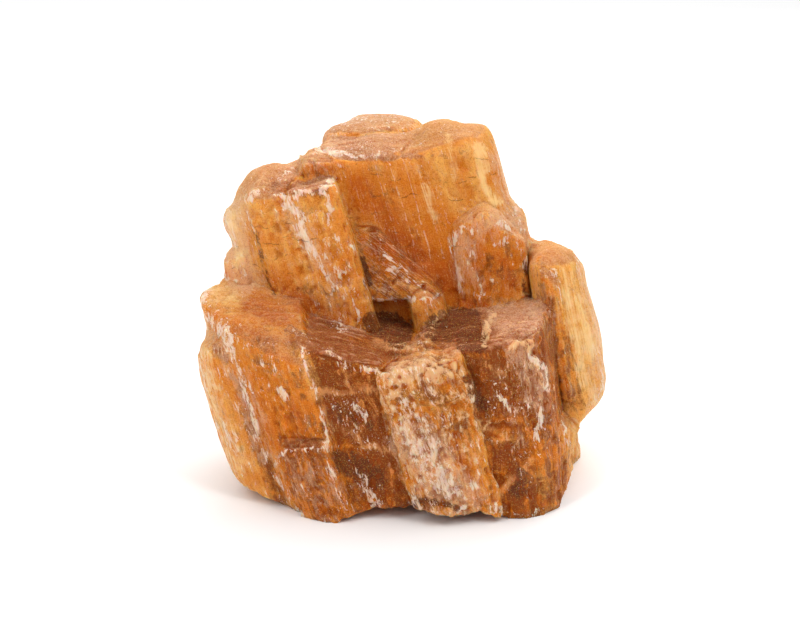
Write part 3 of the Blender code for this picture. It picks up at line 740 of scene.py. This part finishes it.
    # Glare is painted highlight: light caught on the crest and the clear faces, and the glow of the thin laths,
    # slab and right column.
    "glare": {
        "crest, upper": (7, 0.9, ((478, 146), (485, 176))),
        "crest, lower": (6, 1.0, ((486, 184), (495, 200))),
        "crest, streak": (5, 0.6, ((450, 140), (456, 176))),
        "tall block, streak": (5, 0.5, ((426, 180), (434, 220))),
        "left block, glow": (8, 0.3, ((322, 206), (336, 244))),
        "right column, inner glow": (8, 0.7, ((566, 270), (576, 330), (584, 380))),
        "slab, glow": (14, 0.5, ((206, 350), (214, 410), (236, 466))),
        "corner block, glow": (10, 0.5, ((214, 288), (230, 296))),
        "left laths, glow": (8, 0.7, ((232, 214), (240, 262))),
        "right column, glow": (9, 0.8, ((578, 300), (590, 350))),
        "right column, foot": (7, 0.6, ((588, 376), (594, 400))),
    },
    # Hazy is the milky veil over the faces, partly a painted sheen; at the thin edges of the left laths, the
    # right rim and the right column's side it is painted glow.
    "hazy": {
        "left block, band": (12, 0.6, ((290, 210), (306, 236), (322, 262))),
        "left block, low": (10, 0.5, ((326, 270), (338, 300), (344, 318))),
        "plate": (14, 0.8, ((464, 244), (468, 276))),
        "plate, top": (14, 0.9, ((480, 226), (508, 220))),
        "rib, top": (16, 0.6, ((400, 376), (444, 372))),
        "rib, low": (26, 1.2, ((412, 440), (438, 470), (456, 490))),
        "right block, crust": (16, 0.9, ((520, 352), (538, 376), (538, 400))),
        "right block, low": (14, 0.5, ((512, 410), (520, 440))),
        "corner block, long edge": (10, 0.7, ((208, 322), (228, 356), (250, 410), (264, 456))),
        "corner plate": (26, 0.5, ((296, 470), (322, 492))),
        "slab": (16, 0.4, ((206, 380), (232, 460))),
        "left laths": (14, 1.2, ((230, 206), (234, 240), (244, 280))),
        "tall block, left of its top": (12, 0.6, ((300, 160), (330, 148))),
        "right rim": (10, 0.8, ((500, 150), (512, 210), (524, 240))),
        "right column, side": (12, 0.7, ((590, 270), (602, 340), (602, 396))),
        "shelf, right": (22, 0.6, ((500, 318), (528, 318))),
    },
    "speckled": {
        "tall block, front of the top": (16, 1.0, ((352, 146), (400, 144))),
        "tall block, top": (22, 0.5, ((400, 132), (440, 128))),
        "left block, top": (14, 0.7, ((256, 182), (300, 164))),
        "corner block, top left": (14, 0.8, ((208, 312), (230, 330))),
        "right block": (30, 0.9, ((500, 400), (530, 430))),
        "brown block": (26, 0.8, ((350, 412), (376, 440))),
        "rib": (24, 1.0, ((410, 420), (440, 480))),
        "left block, low": (18, 0.8, ((340, 280), (352, 310))),
        "corner block": (20, 0.6, ((246, 360), (270, 380))),
    },
    "waxy": {
        "ridge, left arm": (7, 1.0, ((374, 342), (396, 345), (426, 352), (444, 358))),
        "ridge, right arm": (5, 1.0, ((426, 350), (431, 330), (441, 312))),
        "left of the ridge": (4, 0.8, ((352, 340), (374, 344))),
        "right of the dome": (10, 0.5, ((404, 124), (440, 128))),
    },
    "cracked": {
        "left block, upper": (14, 1.0, ((262, 232), (300, 240))),
        "left block, lower": (16, 0.8, ((270, 256), (306, 268))),
        "tall block, left": (18, 0.6, ((370, 190), (420, 200))),
        "crest": (16, 1.0, ((450, 190), (482, 184))),
        "tall block, edge": (12, 0.7, ((340, 205), (350, 232))),
        "tall block, middle": (12, 0.7, ((380, 225), (420, 235))),
        "hollow": (8, 0.8, ((472, 380), (478, 404))),
    },
    "laddered": {
        "tall block, left facet": (34, 1.0, ((396, 180), (426, 236))),
    },
}


def mark_level(lines, seen):
    """How strongly the lines mark each seen point: in full within a third of the half width, by half at the
    half width and not at all beyond five thirds of it."""
    total = np.zeros(len(seen))
    for half_width, strength, corners in lines:
        corners = np.array(corners, float)
        for start, end in zip(corners, corners[1:]):
            along = end - start
            t = np.clip((seen - start) @ along / (along @ along), 0.0, 1.0)
            away = np.linalg.norm(seen - start - t[:, None] * along, axis=1)
            total = np.maximum(total, strength * np.clip(1.25 - 0.75 * away / half_width, 0.0, 1.0))
    return total


def surface_levels(points, normals, shares):
    """How golden, deep, brown, pale, crusted and waxy each point is, and what else the marks say: the
    crystal's own levels, changed a little by broad noise, and the marks of the front on what faces it, bent
    by finer noise."""
    bends = [sum(reach * named_noise(name, points, k) for name, reach in MARK_BENDS.items())
             for k in range(2)]
    seen = np.column_stack(seen_from_front(points)) + np.column_stack(bends)
    levels = {}
    for index, name in enumerate(("golden", "deep", "brown", "pale", "crust", "waxy")):
        level = tint(name, shares)
        change = (0.12 + 0.5 * level * (1.0 - level)) * named_noise("character", points, 7 * index)
        levels[name] = level + change
    facing = facing_front(normals)
    for name, lines in MARKS.items():
        levels[name] = np.maximum(levels.get(name, 0.0), mark_level(lines.values(), seen) * facing)
    return {name: np.clip(level, 0.0, 1.0) for name, level in levels.items()}


def paint(piece):
    """Writes what the finish reads: each point's place in its crystal's own directions, in millimetres, and
    its levels. Ridges and hollows are how far it stands out from, or in, the surface around it."""
    points, normals = mesh_arrays(piece.data)
    drawn = points - DRAWING_ORIGIN
    place, broken, edge, shares = placed(drawn)
    levels = surface_levels(drawn, normals, shares)
    levels["broken"] = broken
    levels["clear"] = tint("clear", shares)
    # The bright rims of the edges are partly pale chipped rims and partly a painted highlight.
    levels["edge"] = np.exp(-edge / CHIPPED_RIM) * (1.0 - 0.8 * tint("wear", shares))
    levels["fibrous"] = sum(shares[:, list(CRYSTALS).index(name)] for name in CROSS_FIBRES)
    # Ridges are painted lighter, a painted highlight, and hollows darker, painted shade.
    around = worn(piece.data, points, np.ones(len(points)), SMOOTHING_ROUNDS)
    rise = np.sum((points - around) * normals, axis=1)
    levels["ridge"] = rise / FULL_RISE
    levels["hollow"] = -rise / FULL_RISE
    # Sheltered places are painted darker: painted shade.
    levels["shelter"] = sheltered(drawn, normals)
    # Thin parts are painted golden and paler: painted glow.
    levels["thin"] = thinness(drawn, normals)
    mesh = piece.data
    vector = mesh.attributes.new("place", "FLOAT_VECTOR", "POINT")
    vector.data.foreach_set("vector", place.astype(np.float32).ravel())
    for name, level in levels.items():
        layer = mesh.attributes.new(name, "FLOAT", "POINT")
        layer.data.foreach_set("value", np.clip(level, 0.0, 1.0).astype(np.float32))


class Value:
    """A number's socket, which adds its Math nodes when it is used in an expression."""

    def __init__(self, nodes, socket):
        self.nodes = nodes
        self.socket = socket

    def math(self, operation, first, second):
        """A Math node's result."""
        return self.nodes.add("ShaderNodeMath", {"operation": operation}, {0: first, 1: second})

    def __add__(self, other):
        return self.math("ADD", self, other)

    def __radd__(self, other):
        return self.math("ADD", other, self)

    def __sub__(self, other):
        return self.math("SUBTRACT", self, other)

    def __rsub__(self, other):
        return self.math("SUBTRACT", other, self)

    def __mul__(self, other):
        return self.math("MULTIPLY", self, other)

    def __rmul__(self, other):
        return self.math("MULTIPLY", other, self)

    def fraction(self):
        """What is left when the whole part is taken off."""
        return self.nodes.add("ShaderNodeMath", {"operation": "FRACT"}, {0: self})

    def rising(self, low, high):
        """0 below low, 1 above high, and smooth between; falling where low is the larger."""
        return self.nodes.add("ShaderNodeMapRange", {"interpolation_type": "SMOOTHSTEP"},
                              {"Value": self, "From Min": low, "From Max": high})


class Nodes:
    """A material's nodes and the one method that adds them."""

    def __init__(self, name):
        self.material = bpy.data.materials.new(name)
        self.material.use_nodes = True
        self.tree = self.material.node_tree
        self.tree.nodes.clear()

    def add(self, kind, settings, values, output=0):
        """A node of that kind: its settings are set first, then the values or links of its sockets."""
        node = self.tree.nodes.new(kind)
        for name, value in settings.items():
            setattr(node, name, value)
        for name, value in values.items():
            socket = node.inputs[name]
            if isinstance(value, Value):
                self.tree.links.new(value.socket, socket)
            else:
                socket.default_value = value
        return None if output is None else Value(self, node.outputs[output])

    def level(self, name):
        """One of the piece's own numbers."""
        return self.add("ShaderNodeAttribute", {"attribute_name": name}, {}, "Fac")

    def axis(self, vector, name):
        """One of a vector's three numbers."""
        return self.add("ShaderNodeSeparateXYZ", {}, {"Vector": vector}, name)

    def stretched(self, vector, factors):
        """The vector with each of its numbers multiplied by a factor."""
        return self.add("ShaderNodeVectorMath", {"operation": "MULTIPLY"}, {0: vector, 1: factors})

    def noise(self, vector, waves, detail=2.0, roughness=0.5, distortion=0.0):
        """Noise from about 0 to 1 with that many waves along each axis for each unit of the vector."""
        return self.add("ShaderNodeTexNoise", {},
                        {"Vector": self.stretched(vector, waves), "Scale": 1.0, "Detail": detail,
                         "Roughness": roughness, "Distortion": distortion})

    def tinted(self, amount, under, over):
        """The colour over laid on the colour under by an amount."""
        return self.add("ShaderNodeMix", {"data_type": "RGBA"}, {0: amount, 6: under, 7: over}, 2)


# The noises of the finish that run along each crystal, and those that go through the whole piece alike: waves
# for each millimetre along three axes, layers, roughness of the layers, and how far the noise is bent
ALONG_CRYSTALS = {
    "streaks": ((0.8, 0.8, 0.03), 4.0, 0.65),
    "fibres": ((4.0, 4.0, 0.14), 4.0, 0.7),
    "bands": ((0.06, 0.06, 0.42), 4.0, 0.65),
    "flakes": ((0.75, 0.75, 0.36), 7.0, 0.7, 0.7),
    "splinters": ((2.2, 2.2, 0.6), 4.0, 0.7, 0.5),
    "specks": ((1.8, 1.8, 1.2), 3.0, 0.6, 0.8),
    "veils": ((0.4, 0.4, 0.26), 6.0, 0.7, 1.6),
    "rungs": ((0.3, 0.3, 0.8), 3.0, 0.6),
    "parts": ((0.3, 0.3, 0.9), 2.0),
}
THROUGH_PIECE = {
    "clouds": ((0.10, 0.10, 0.10), 5.0, 0.65),
    "crowds": ((0.22, 0.22, 0.22), 3.0, 0.6),
    "grains": ((2.0, 2.0, 2.0), 5.0, 0.7),
    "dust": ((4.0, 4.0, 4.0), 2.0, 0.6),
}

# The numbers that paint writes and the finish reads
LEVELS = ("golden", "deep", "brown", "pale", "crust", "waxy", "vein", "dark", "glare", "hazy", "speckled",
          "cracked", "laddered", "broken", "clear", "edge", "fibrous", "ridge", "hollow", "shelter", "thin")


def surface_numbers(n):
    """The piece's own levels, with hollows kept weak on clear crystals and on breaks."""
    level = SimpleNamespace(**{name: n.level(name) for name in LEVELS})
    level.side = 1.0 - level.broken
    level.hollow = level.hollow * (1.0 - level.clear * 0.8) * (1.0 - level.broken * 0.6)
    return level


def surface_noises(n, place, clear):
    """Every noise of the finish, from about -0.5 to 0.5. Shards and slips are cells with one value each,
    coarse and fine, whose borders are bent by a coloured noise."""
    here = n.stretched(n.add("ShaderNodeTexCoord", {}, {}, "Object"), (1 / MM, 1 / MM, 1 / MM))
    noises = {name: n.noise(place, *form) - 0.5 for name, form in ALONG_CRYSTALS.items()}
    noises |= {name: n.noise(here, *form) - 0.5 for name, form in THROUGH_PIECE.items()}
    noises["clouds"] = noises["clouds"] * (1.0 - clear * 0.35)
    bend = n.add("ShaderNodeTexNoise", {},
                 {"Vector": n.stretched(place, (0.5, 0.5, 0.25)), "Scale": 1.0}, "Color")
    bent = n.add("ShaderNodeVectorMath", {"operation": "MULTIPLY_ADD"},
                 {0: bend, 1: (1.6, 1.6, 1.6), 2: n.stretched(place, (0.6, 0.6, 0.16))})
    for name, scale in (("shards", 1.0), ("slips", 2.7)):
        noises[name] = n.add("ShaderNodeTexVoronoi", {}, {"Vector": bent, "Scale": scale}, "Color") - 0.5
    return SimpleNamespace(**noises)


def hairline_cracks(n, place, noise, level):
    """Thin bands across each crystal, where a wandering sawtooth of the height passes its middle, kept only
    in scattered stretches."""
    wander = n.noise(place, (0.14, 0.14, 0.05)) * 2.2
    jags = n.noise(place, (1.2, 1.2, 0.4)) * 0.3
    turn = (n.axis(place, "Z") * 0.3 + wander + jags).fraction() - 0.5
    kept = (noise.parts + level.cracked * 0.2 + level.shelter * 0.05).rising(0.13, 0.22)
    return (turn * turn).rising(0.0012, 0.0002) * kept


def cleavage_lines(n, place, noise, level):
    """Thin lines along the sides of each crystal, at even steps across it, broken up like rungs."""
    rail = (n.axis(place, "X") * 0.36 + n.axis(place, "Y") * 0.3 + noise.streaks * 0.5).fraction() - 0.5
    kept = (noise.rungs + level.laddered * 0.16).rising(0.04, 0.2)
    return (rail * rail).rising(0.0022, 0.0002) * kept * level.side


def surface_masks(noise, level):
    """Where each finish lies, from 0 to 1: levels and noises are added up and cut softly."""
    veils = (noise.veils * 1.4 + noise.shards * 0.3) * (1.0 - level.clear * 0.8)
    return SimpleNamespace(
        # Thin parts are made golden: painted glow of light coming through them; ridges lighter, a painted
        # highlight; hollows less golden, painted shade.
        gold=(level.golden * 0.85 + level.thin * 0.45 + noise.streaks * 0.7 + noise.clouds * 1.3
              + noise.bands * 0.9 + veils + level.ridge * 0.2 - level.hollow * 0.3 - 0.12).rising(0.0, 1.0),
        # Shelter and hollows make it deeper: painted shade in recesses; thin parts are less deep: painted glow.
        depth=(level.deep * 0.9 + level.shelter * 0.3 - level.thin * 0.3 + noise.clouds * 1.2
               + noise.streaks * 0.5 - veils + level.hollow * 0.5 - 0.1).rising(0.0, 1.0),
        clay=(level.brown * 0.95 + noise.clouds * 1.5 + noise.streaks * 0.15 + noise.bands * 1.2
              + noise.veils * 2.2 + noise.shards * 0.5).rising(0.1, 0.85),
        glow=(level.brown * 0.18 - noise.veils * 2.2 - noise.clouds * 1.2 - noise.shards * 0.4
              + level.ridge * 0.1).rising(0.35, 0.85) * level.side,
        # The milky veil, partly a painted sheen; thin parts and ridges make it paler, as painted glow and
        # highlight.
        haze=(level.hazy * 0.6 + level.pale * 0.15 + level.thin * 0.25 + noise.veils * 1.2 + noise.slips * 0.5
              + noise.flakes * 0.9 + noise.splinters * 0.6 + level.ridge * 0.1 - level.brown * 0.15
              - 0.08).rising(0.12, 0.6),
        # Pale flakes gather on edges and ridges, partly as a painted highlight.
        flaky=(level.pale * 0.75 + level.edge * 0.2 + level.ridge * 0.26 + noise.shards * 0.3
               + noise.slips * 0.3 + noise.flakes * 1.3 + noise.splinters * 1.4
               + noise.fibres * 0.5).rising(0.68, 0.82),
        crusty=(level.crust * 0.75 + level.ridge * 0.15 - level.hollow * 0.5 + noise.grains * 0.9
                + noise.flakes * 2.0 + noise.slips * 0.2).rising(0.4, 0.75),
        veined=(level.vein * 0.9 + noise.clouds + noise.splinters * 1.8
                + noise.flakes * 1.5).rising(0.25, 0.9),
        velvet=(level.dark + noise.grains * 0.6 + noise.flakes * 1.4).rising(0.35, 0.55),
        chips=(noise.splinters + noise.crowds * 0.4 + level.edge * 0.05 + level.hazy * 0.06
               + level.speckled * 0.05).rising(0.2, 0.24),
        speck=(noise.specks + noise.crowds * 0.3 + level.speckled * 0.07
               + level.pale * 0.03).rising(0.21, 0.25),
        # Shine is painted highlight: the glare marks and glints along the fibres and streaks.
        shine=(level.glare * 1.1 + noise.flakes * 0.8 + noise.bands + noise.fibres * 1.5 + noise.streaks * 1.2
               + noise.slips * 0.3).rising(0.35, 1.1))


def crystal_colour(n, look, noise, level, mask):
    """The sides: amber with golden, deep and clayey zones, dark and bright fibres, and glowing veins."""
    dark_fibres = (noise.fibres + noise.streaks * 0.5).rising(0.0, -0.25)
    bright_fibres = (noise.fibres + noise.streaks * 0.4 + noise.rungs * 0.5).rising(0.08, 0.3)
    pale_fibres = (noise.fibres + noise.streaks * 0.5).rising(-0.02, 0.12)
    colour = n.tinted(mask.gold, look.amber, look.golden)
    # Deep zones are partly painted shade and golden ones partly painted glow.
    colour = n.tinted(mask.depth * 0.9, colour, look.deep)
    colour = n.tinted(mask.clay * 0.9, colour, look.brown)
    colour = n.tinted(mask.glow * 0.6, colour, look.vein)
    dark_fibres = dark_fibres * level.side * (0.3 - level.clear * 0.2 - level.brown * 0.2)
    colour = n.tinted(dark_fibres, colour, look.deep)
    # Bright fibres in the clear parts are painted highlights.
    colour = n.tinted(bright_fibres * level.side * level.clear * 0.5, colour, look.glint)
    colour = n.tinted(pale_fibres * level.fibrous * 0.5, colour, look.pale)
    return n.tinted(mask.veined * 0.65, colour, look.vein)


def break_colour(n, look, noise, level):
    """The broken tops: light grains on a darker ground, browner on brown crystals and lighter on ridges."""
    light_grains = (noise.grains + noise.clouds * 0.5).rising(-0.12, 0.12)
    colour = n.tinted(light_grains, look.break_shade, look.break_light)
    browner = level.brown * 1.1 - level.golden * 0.9 + noise.clouds * 0.9 + noise.flakes * 0.6
    colour = n.tinted(browner.rising(0.1, 0.8), colour, look.break_brown)
    # Ridges are lighter: a painted highlight.
    return n.tinted(level.ridge.rising(0.1, 0.8) * 0.5, colour, look.break_light)


def loose_colour(n, look, noise, level, mask, colour):
    """What lies over the crystal: the milky veil with a painted sheen, velvet with painted shade, dust, crust,
    painted shade in hollows, flakes, chips, specks and painted glints.
    """
    flake_colour = n.tinted(noise.splinters.rising(-0.1, 0.15), look.pale, look.speck)
    colour = n.tinted(mask.haze * (0.35 + level.hazy * 0.25), colour, look.haze)
    # Velvet carries the dark velvet and the painted shade and shadow of the dark marks.
    colour = n.tinted(mask.velvet * 0.85, colour, look.dark)
    colour = n.tinted(noise.dust.rising(0.0, -0.18) * 0.5, colour, look.deep)
    colour = n.tinted(noise.dust.rising(0.02, 0.18) * 0.4, colour, look.golden)
    colour = n.tinted(mask.crusty * 0.8, colour, look.crust)
    # Hollows are darkened towards deep: painted shade.
    colour = n.tinted(level.hollow.rising(0.1, 0.9) * (0.5 - level.crust * 0.25), colour, look.deep)
    colour = n.tinted(mask.flaky * 0.75, colour, flake_colour)
    colour = n.tinted(mask.chips * (0.75 - level.broken * 0.3), colour, look.pale)
    colour = n.tinted(mask.speck * 0.8, colour, look.speck)
    return n.tinted(mask.shine * 0.85, colour, look.glint)


def selenite(look):
    """Translucent orange crystal with pale flakes, brown clayey zones, white specks and rough breaks."""
    n = Nodes("orange_selenite")
    place = n.add("ShaderNodeAttribute", {"attribute_name": "place"}, {}, "Vector")
    level = surface_numbers(n)
    noise = surface_noises(n, place, level.clear)
    mask = surface_masks(noise, level)
    crack = hairline_cracks(n, place, noise, level)
    line = cleavage_lines(n, place, noise, level)

    top_share = level.broken * (0.95 - level.waxy * 0.75 + noise.grains * level.waxy)
    sides = crystal_colour(n, look, noise, level, mask)
    colour = n.tinted(top_share, sides, break_colour(n, look, noise, level))
    colour = n.tinted(line * (0.1 + level.laddered * 0.5), colour, look.pale)
    colour = loose_colour(n, look, noise, level, mask, colour)
    colour = n.tinted(crack * level.side * 0.5, colour, look.crack)

    rough = (0.3 + level.broken * 0.4 + mask.crusty * level.side * 0.25 + mask.flaky * 0.05
             + level.brown * 0.05 + noise.fibres * 0.3 + noise.slips * 0.25 - mask.shine * 0.1)
    height = ((noise.streaks * 0.35 + noise.fibres * 0.45) * level.side + noise.fibres * level.fibrous * 0.8
              + noise.splinters * 0.25 + noise.grains * (0.1 + level.broken * 0.6 + mask.crusty * 0.4)
              + mask.flaky * 0.3 + mask.crusty * 0.3 + mask.chips * 0.2 - crack * 0.4 + mask.speck * 0.15
              + line * 0.15 + (noise.shards * 0.5 + noise.slips * 0.25) * level.side)
    gloss = (mask.flaky * 0.5 + mask.chips * 0.4 + mask.shine * 0.5 + level.clear * level.side * 0.08
             + noise.slips.rising(0.15, 0.35) * level.side * 0.3) * look.gloss
    bump = n.add("ShaderNodeBump", {}, {"Strength": 0.8, "Distance": 0.5 * MM, "Height": height})
    surface = n.add("ShaderNodeBsdfPrincipled", {"subsurface_method": "RANDOM_WALK"}, {
        "Base Color": colour, "Roughness": rough, "Normal": bump, "IOR": look.ior,
        "Specular IOR Level": look.shine, "Subsurface Weight": look.glow, "Subsurface Radius": look.spread,
        "Subsurface Scale": look.reach, "Coat Weight": gloss, "Coat Roughness": 0.16})
    n.add("ShaderNodeOutputMaterial", {"target": "ALL"}, {"Surface": surface}, None)
    return n.material


def plain(name, colour, roughness):
    """A smooth, even finish, for the floor."""
    n = Nodes(name)
    surface = n.add("ShaderNodeBsdfPrincipled", {}, {"Base Color": colour, "Roughness": roughness})
    n.add("ShaderNodeOutputMaterial", {"target": "ALL"}, {"Surface": surface}, None)
    return n.material


def colour_property(name, description, default):
    return bpy.props.FloatVectorProperty(name=name, description=description, default=(*default, 1.0), size=4,
                                         min=0.0, max=1.0, subtype="COLOR")


def number_property(name, description, default, **kind):
    return bpy.props.FloatProperty(name=name, description=description, default=default, precision=3, **kind)


class SeleniteSizes(bpy.types.PropertyGroup):
    """The depths of the carving, in millimetres except the cell."""

    cell: number_property("Cell", "Side of the small cells that the surface is made of", 0.32 * MM,
                          unit="LENGTH", subtype="DISTANCE")
    triangles: bpy.props.IntProperty(name="Triangles", description="How many triangles are kept",
                                     default=195000, min=1000, max=199000)
    lath: number_property("Laths", "Height of the broad steps along a crystal, in mm", 0.5)
    sliver: number_property("Slivers", "Height of the narrow steps along a crystal, in mm", 0.12)
    fibre: number_property("Fibres", "Height of the finest ribs, in mm", 0.04)
    sheet: number_property("Sheets", "Thickness of the loosened sheets on the sides, in mm", 0.22)
    lump: number_property("Lumps", "Height of the lumps of a broken top, in mm", 0.7)
    grain: number_property("Grains", "Height of the grains of a broken top, in mm", 0.35)
    flow: number_property("Flow", "Height of the flowing ridges of a broken top, in mm", 0.6)
    crust: number_property("Crust", "Height of the lumps of the crust, in mm", 1.5)
    roll: number_property("Rolls", "Height of the gentle rolls of lumpy crystals, in mm", 1.3)
    chip: number_property("Chips", "Depth of the chips along edges, in mm", 0.9)
    chip_reach: number_property("Chip reach", "How far from an edge it is chipped, in mm", 0.9)
    refill: number_property("Refill", "How far worn crystals are moved out again, in mm", 0.7)
    pit: number_property("Pits", "Depth of the small ragged pits, in mm", 0.35)
    wear_rounds: bpy.props.IntProperty(name="Wear", description="How often the edges are rounded",
                                       default=220, min=0)


class SeleniteLook(bpy.types.PropertyGroup):
    """The colours and the translucency."""

    amber: colour_property("Amber", "The body of the crystals", (0.65, 0.185, 0.007))
    # Golden is also the colour of the painted glow in thin parts.
    golden: colour_property("Golden", "The lighter streaks and crystals", (0.83, 0.42, 0.10))
    # Deep is also the colour of the painted shade in sheltered places, hollows and low on the crystals.
    deep: colour_property("Deep", "Thick and sheltered crystal", (0.43, 0.070, 0.001))
    brown: colour_property("Brown", "The clayey zones", (0.165, 0.029, 0.005))
    # Dark is also the colour of painted shade in hollows and cracks and of the painted shadow below the rib.
    dark: colour_property("Dark", "Dark velvety breaks and hollows", (0.085, 0.021, 0.010))
    crack: colour_property("Cracks", "Hairline cracks", (0.10, 0.018, 0.004))
    vein: colour_property("Veins", "Glowing seams between the crystals", (0.78, 0.36, 0.13))
    pale: colour_property("Pale", "Loosened flakes and pearly faces", (0.86, 0.60, 0.42))
    # The milky veil is partly a painted sheen.
    haze: colour_property("Haze", "The milky veil over the faces", (0.76, 0.47, 0.29))
    # Glints are painted highlights.
    glint: colour_property("Glints", "Light caught inside the clear parts", (0.92, 0.62, 0.28))
    crust: colour_property("Crust", "The cream crust", (0.80, 0.48, 0.24))
    speck: colour_property("Specks", "White specks", (0.95, 0.84, 0.72))
    break_shade: colour_property("Break shade", "The hollows of the broken tops", (0.40, 0.155, 0.07))
    break_light: colour_property("Break light", "The grains of the broken tops", (0.55, 0.31, 0.20))
    break_brown: colour_property("Break brown", "The broken tops of the shelf", (0.25, 0.068, 0.022))
    ior: number_property("Refraction", "Index of refraction of gypsum", 1.52, min=1.0, max=2.0)
    shine: number_property("Shine", "Strength of the surface's reflection", 0.08, min=0.0, max=1.0)
    glow: number_property("Translucency", "Share of the light that enters the crystal", 0.9,
                          min=0.0, max=1.0)
    reach: number_property("Light reach", "How far red light travels inside", 3.2 * MM, unit="LENGTH",
                           subtype="DISTANCE")
    spread: bpy.props.FloatVectorProperty(name="Spread", description="Reach of red, green and blue light",
                                          default=(1.0, 0.5, 0.25), size=3, min=0.0, max=1.0)
    gloss: number_property("Gloss", "Shine of the flakes and cleavage faces", 0.6, min=0.0, max=1.0)


class SeleniteStage(bpy.types.PropertyGroup):
    """The floor and the light."""

    floor_size: number_property("Floor", "Side of the floor", 6.0, unit="LENGTH", subtype="DISTANCE")
    floor: colour_property("Floor colour", "The plain pale floor", (0.96, 0.96, 0.96))
    sky: number_property("Sky", "Strength of the even white light", 0.43, min=0.0)
    sun: number_property("Overhead light", "Strength of the soft light from above", 1.7, min=0.0)
    key: number_property("Key lights", "Power of each of the two strip lights in front", 0.75, min=0.0)
    rim: number_property("Rim light", "Power of the light behind", 0.9, min=0.0)


class OBJECT_OT_selenite_cluster(bpy.types.Operator):
    """Carve and finish the cluster of crystals"""

    bl_idname = "object.selenite_cluster"
    bl_label = "Selenite Cluster"

    def execute(self, context):
        piece = carved_cluster(context.scene.selenite_sizes)
        paint(piece)
        piece.data.materials.clear()
        piece.data.materials.append(selenite(context.scene.selenite_look))
        piece.data.shade_smooth()
        piece.data.set_sharp_from_angle(angle=SHARP_ANGLE)
        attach(piece, "root")
        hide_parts("selenite_cluster")
        return {"FINISHED"}


# The floor's finish and the soft light: the spread and tilt of the light from above, and the place, width and
# height of each rectangular lamp, in metres, with the stage's setting that gives its power
FLOOR_ROUGHNESS = 0.9
OVERHEAD_SPREAD = math.radians(100.0)
OVERHEAD_TILT = (math.radians(-14.0), math.radians(3.0), 0.0)
LAMP_AIM = Vector((0.0, 0.0, 0.035))
LAMPS = {
    "key_light_left": ("key", (-0.28, -0.34, 0.36), 0.07, 0.4),
    "key_light_right": ("key", (0.22, -0.3, 0.45), 0.07, 0.4),
    "rim_light": ("rim", (0.12, 0.35, 0.35), 0.4, 0.2),
}


def linked(name, data):
    """A new object in the scene."""
    obj = bpy.data.objects.new(name, data)
    bpy.context.scene.collection.objects.link(obj)
    return obj


def white_floor(side, colour):
    """A square sheet round the origin, at the height that the cluster rests on."""
    half = side / 2
    mesh = bpy.data.meshes.new("floor")
    corners = [(-half, -half, 0), (half, -half, 0), (half, half, 0), (-half, half, 0)]
    mesh.from_pydata(corners, [], [(0, 1, 2, 3)])
    mesh.materials.append(plain("floor_white", colour, FLOOR_ROUGHNESS))
    linked("floor", mesh)


def soft_light(stage):
    """Even white light from all round, a wide soft light from above and the rectangular lamps."""
    world = bpy.data.worlds.new("even_white_light")
    world.use_nodes = True
    world.node_tree.nodes["Background"].inputs["Color"].default_value = (1.0, 1.0, 1.0, 1.0)
    world.node_tree.nodes["Background"].inputs["Strength"].default_value = stage.sky
    bpy.context.scene.world = world
    overhead = bpy.data.lights.new("overhead_light", "SUN")
    overhead.energy = stage.sun
    overhead.angle = OVERHEAD_SPREAD
    linked("overhead_light", overhead).rotation_euler = OVERHEAD_TILT
    for name, (power, place, width, height) in LAMPS.items():
        lamp = bpy.data.lights.new(name, "AREA")
        lamp.energy = getattr(stage, power)
        lamp.shape = "RECTANGLE"
        lamp.size = width
        lamp.size_y = height
        obj = linked(name, lamp)
        obj.location = place
        obj.rotation_euler = (LAMP_AIM - Vector(place)).to_track_quat("-Z", "Y").to_euler()


def front_camera():
    """The camera of the front view."""
    towards = Vector((0.0, math.cos(VIEW_ELEVATION), -math.sin(VIEW_ELEVATION)))
    target = Vector((VIEW_TARGET + DRAWING_ORIGIN) * MM)
    lens = bpy.data.cameras.new("camera")
    lens.lens = VIEW_LENS
    lens.sensor_width = VIEW_SENSOR
    lens.clip_start = 0.01
    camera = linked("camera", lens)
    camera.location = target - towards * VIEW_DISTANCE * MM
    camera.rotation_euler = towards.to_track_quat("-Z", "Y").to_euler()
    bpy.context.scene.camera = camera


class OBJECT_OT_selenite_stage(bpy.types.Operator):
    """Set up the floor, the soft light and the camera"""

    bl_idname = "object.selenite_stage"
    bl_label = "Selenite Stage"

    def execute(self, context):
        stage = context.scene.selenite_stage
        white_floor(stage.floor_size, stage.floor)
        soft_light(stage)
        front_camera()
        context.scene.view_settings.view_transform = "Standard"
        return {"FINISHED"}


class VIEW3D_PT_selenite(bpy.types.Panel):
    """The pieces, their sizes and their colours"""

    bl_label = "Orange Selenite"
    bl_idname = "VIEW3D_PT_selenite"
    bl_space_type = "VIEW_3D"
    bl_region_type = "UI"
    bl_category = "Selenite"

    def draw(self, context):
        for group in GROUPS:
            settings = getattr(context.scene, group)
            box = self.layout.box()
            for name in settings.bl_rna.properties.keys():
                if name not in ("rna_type", "name"):
                    box.prop(settings, name)
        self.layout.operator(OBJECT_OT_selenite_cluster.bl_idname)
        self.layout.operator(OBJECT_OT_selenite_stage.bl_idname)


CLASSES = (SeleniteSizes, SeleniteLook, SeleniteStage, OBJECT_OT_selenite_cluster, OBJECT_OT_selenite_stage,
           VIEW3D_PT_selenite)
GROUPS = {"selenite_sizes": SeleniteSizes, "selenite_look": SeleniteLook, "selenite_stage": SeleniteStage}


def register():
    for cls in CLASSES:
        bpy.utils.register_class(cls)
    for name, group in GROUPS.items():
        setattr(bpy.types.Scene, name, bpy.props.PointerProperty(type=group))


def unregister():
    for name in GROUPS:
        delattr(bpy.types.Scene, name)
    for cls in reversed(CLASSES):
        bpy.utils.unregister_class(cls)


def main():
    register()
    bpy.ops.object.selenite_cluster()
    bpy.ops.object.selenite_stage()


if __name__ == "__main__":
    main()
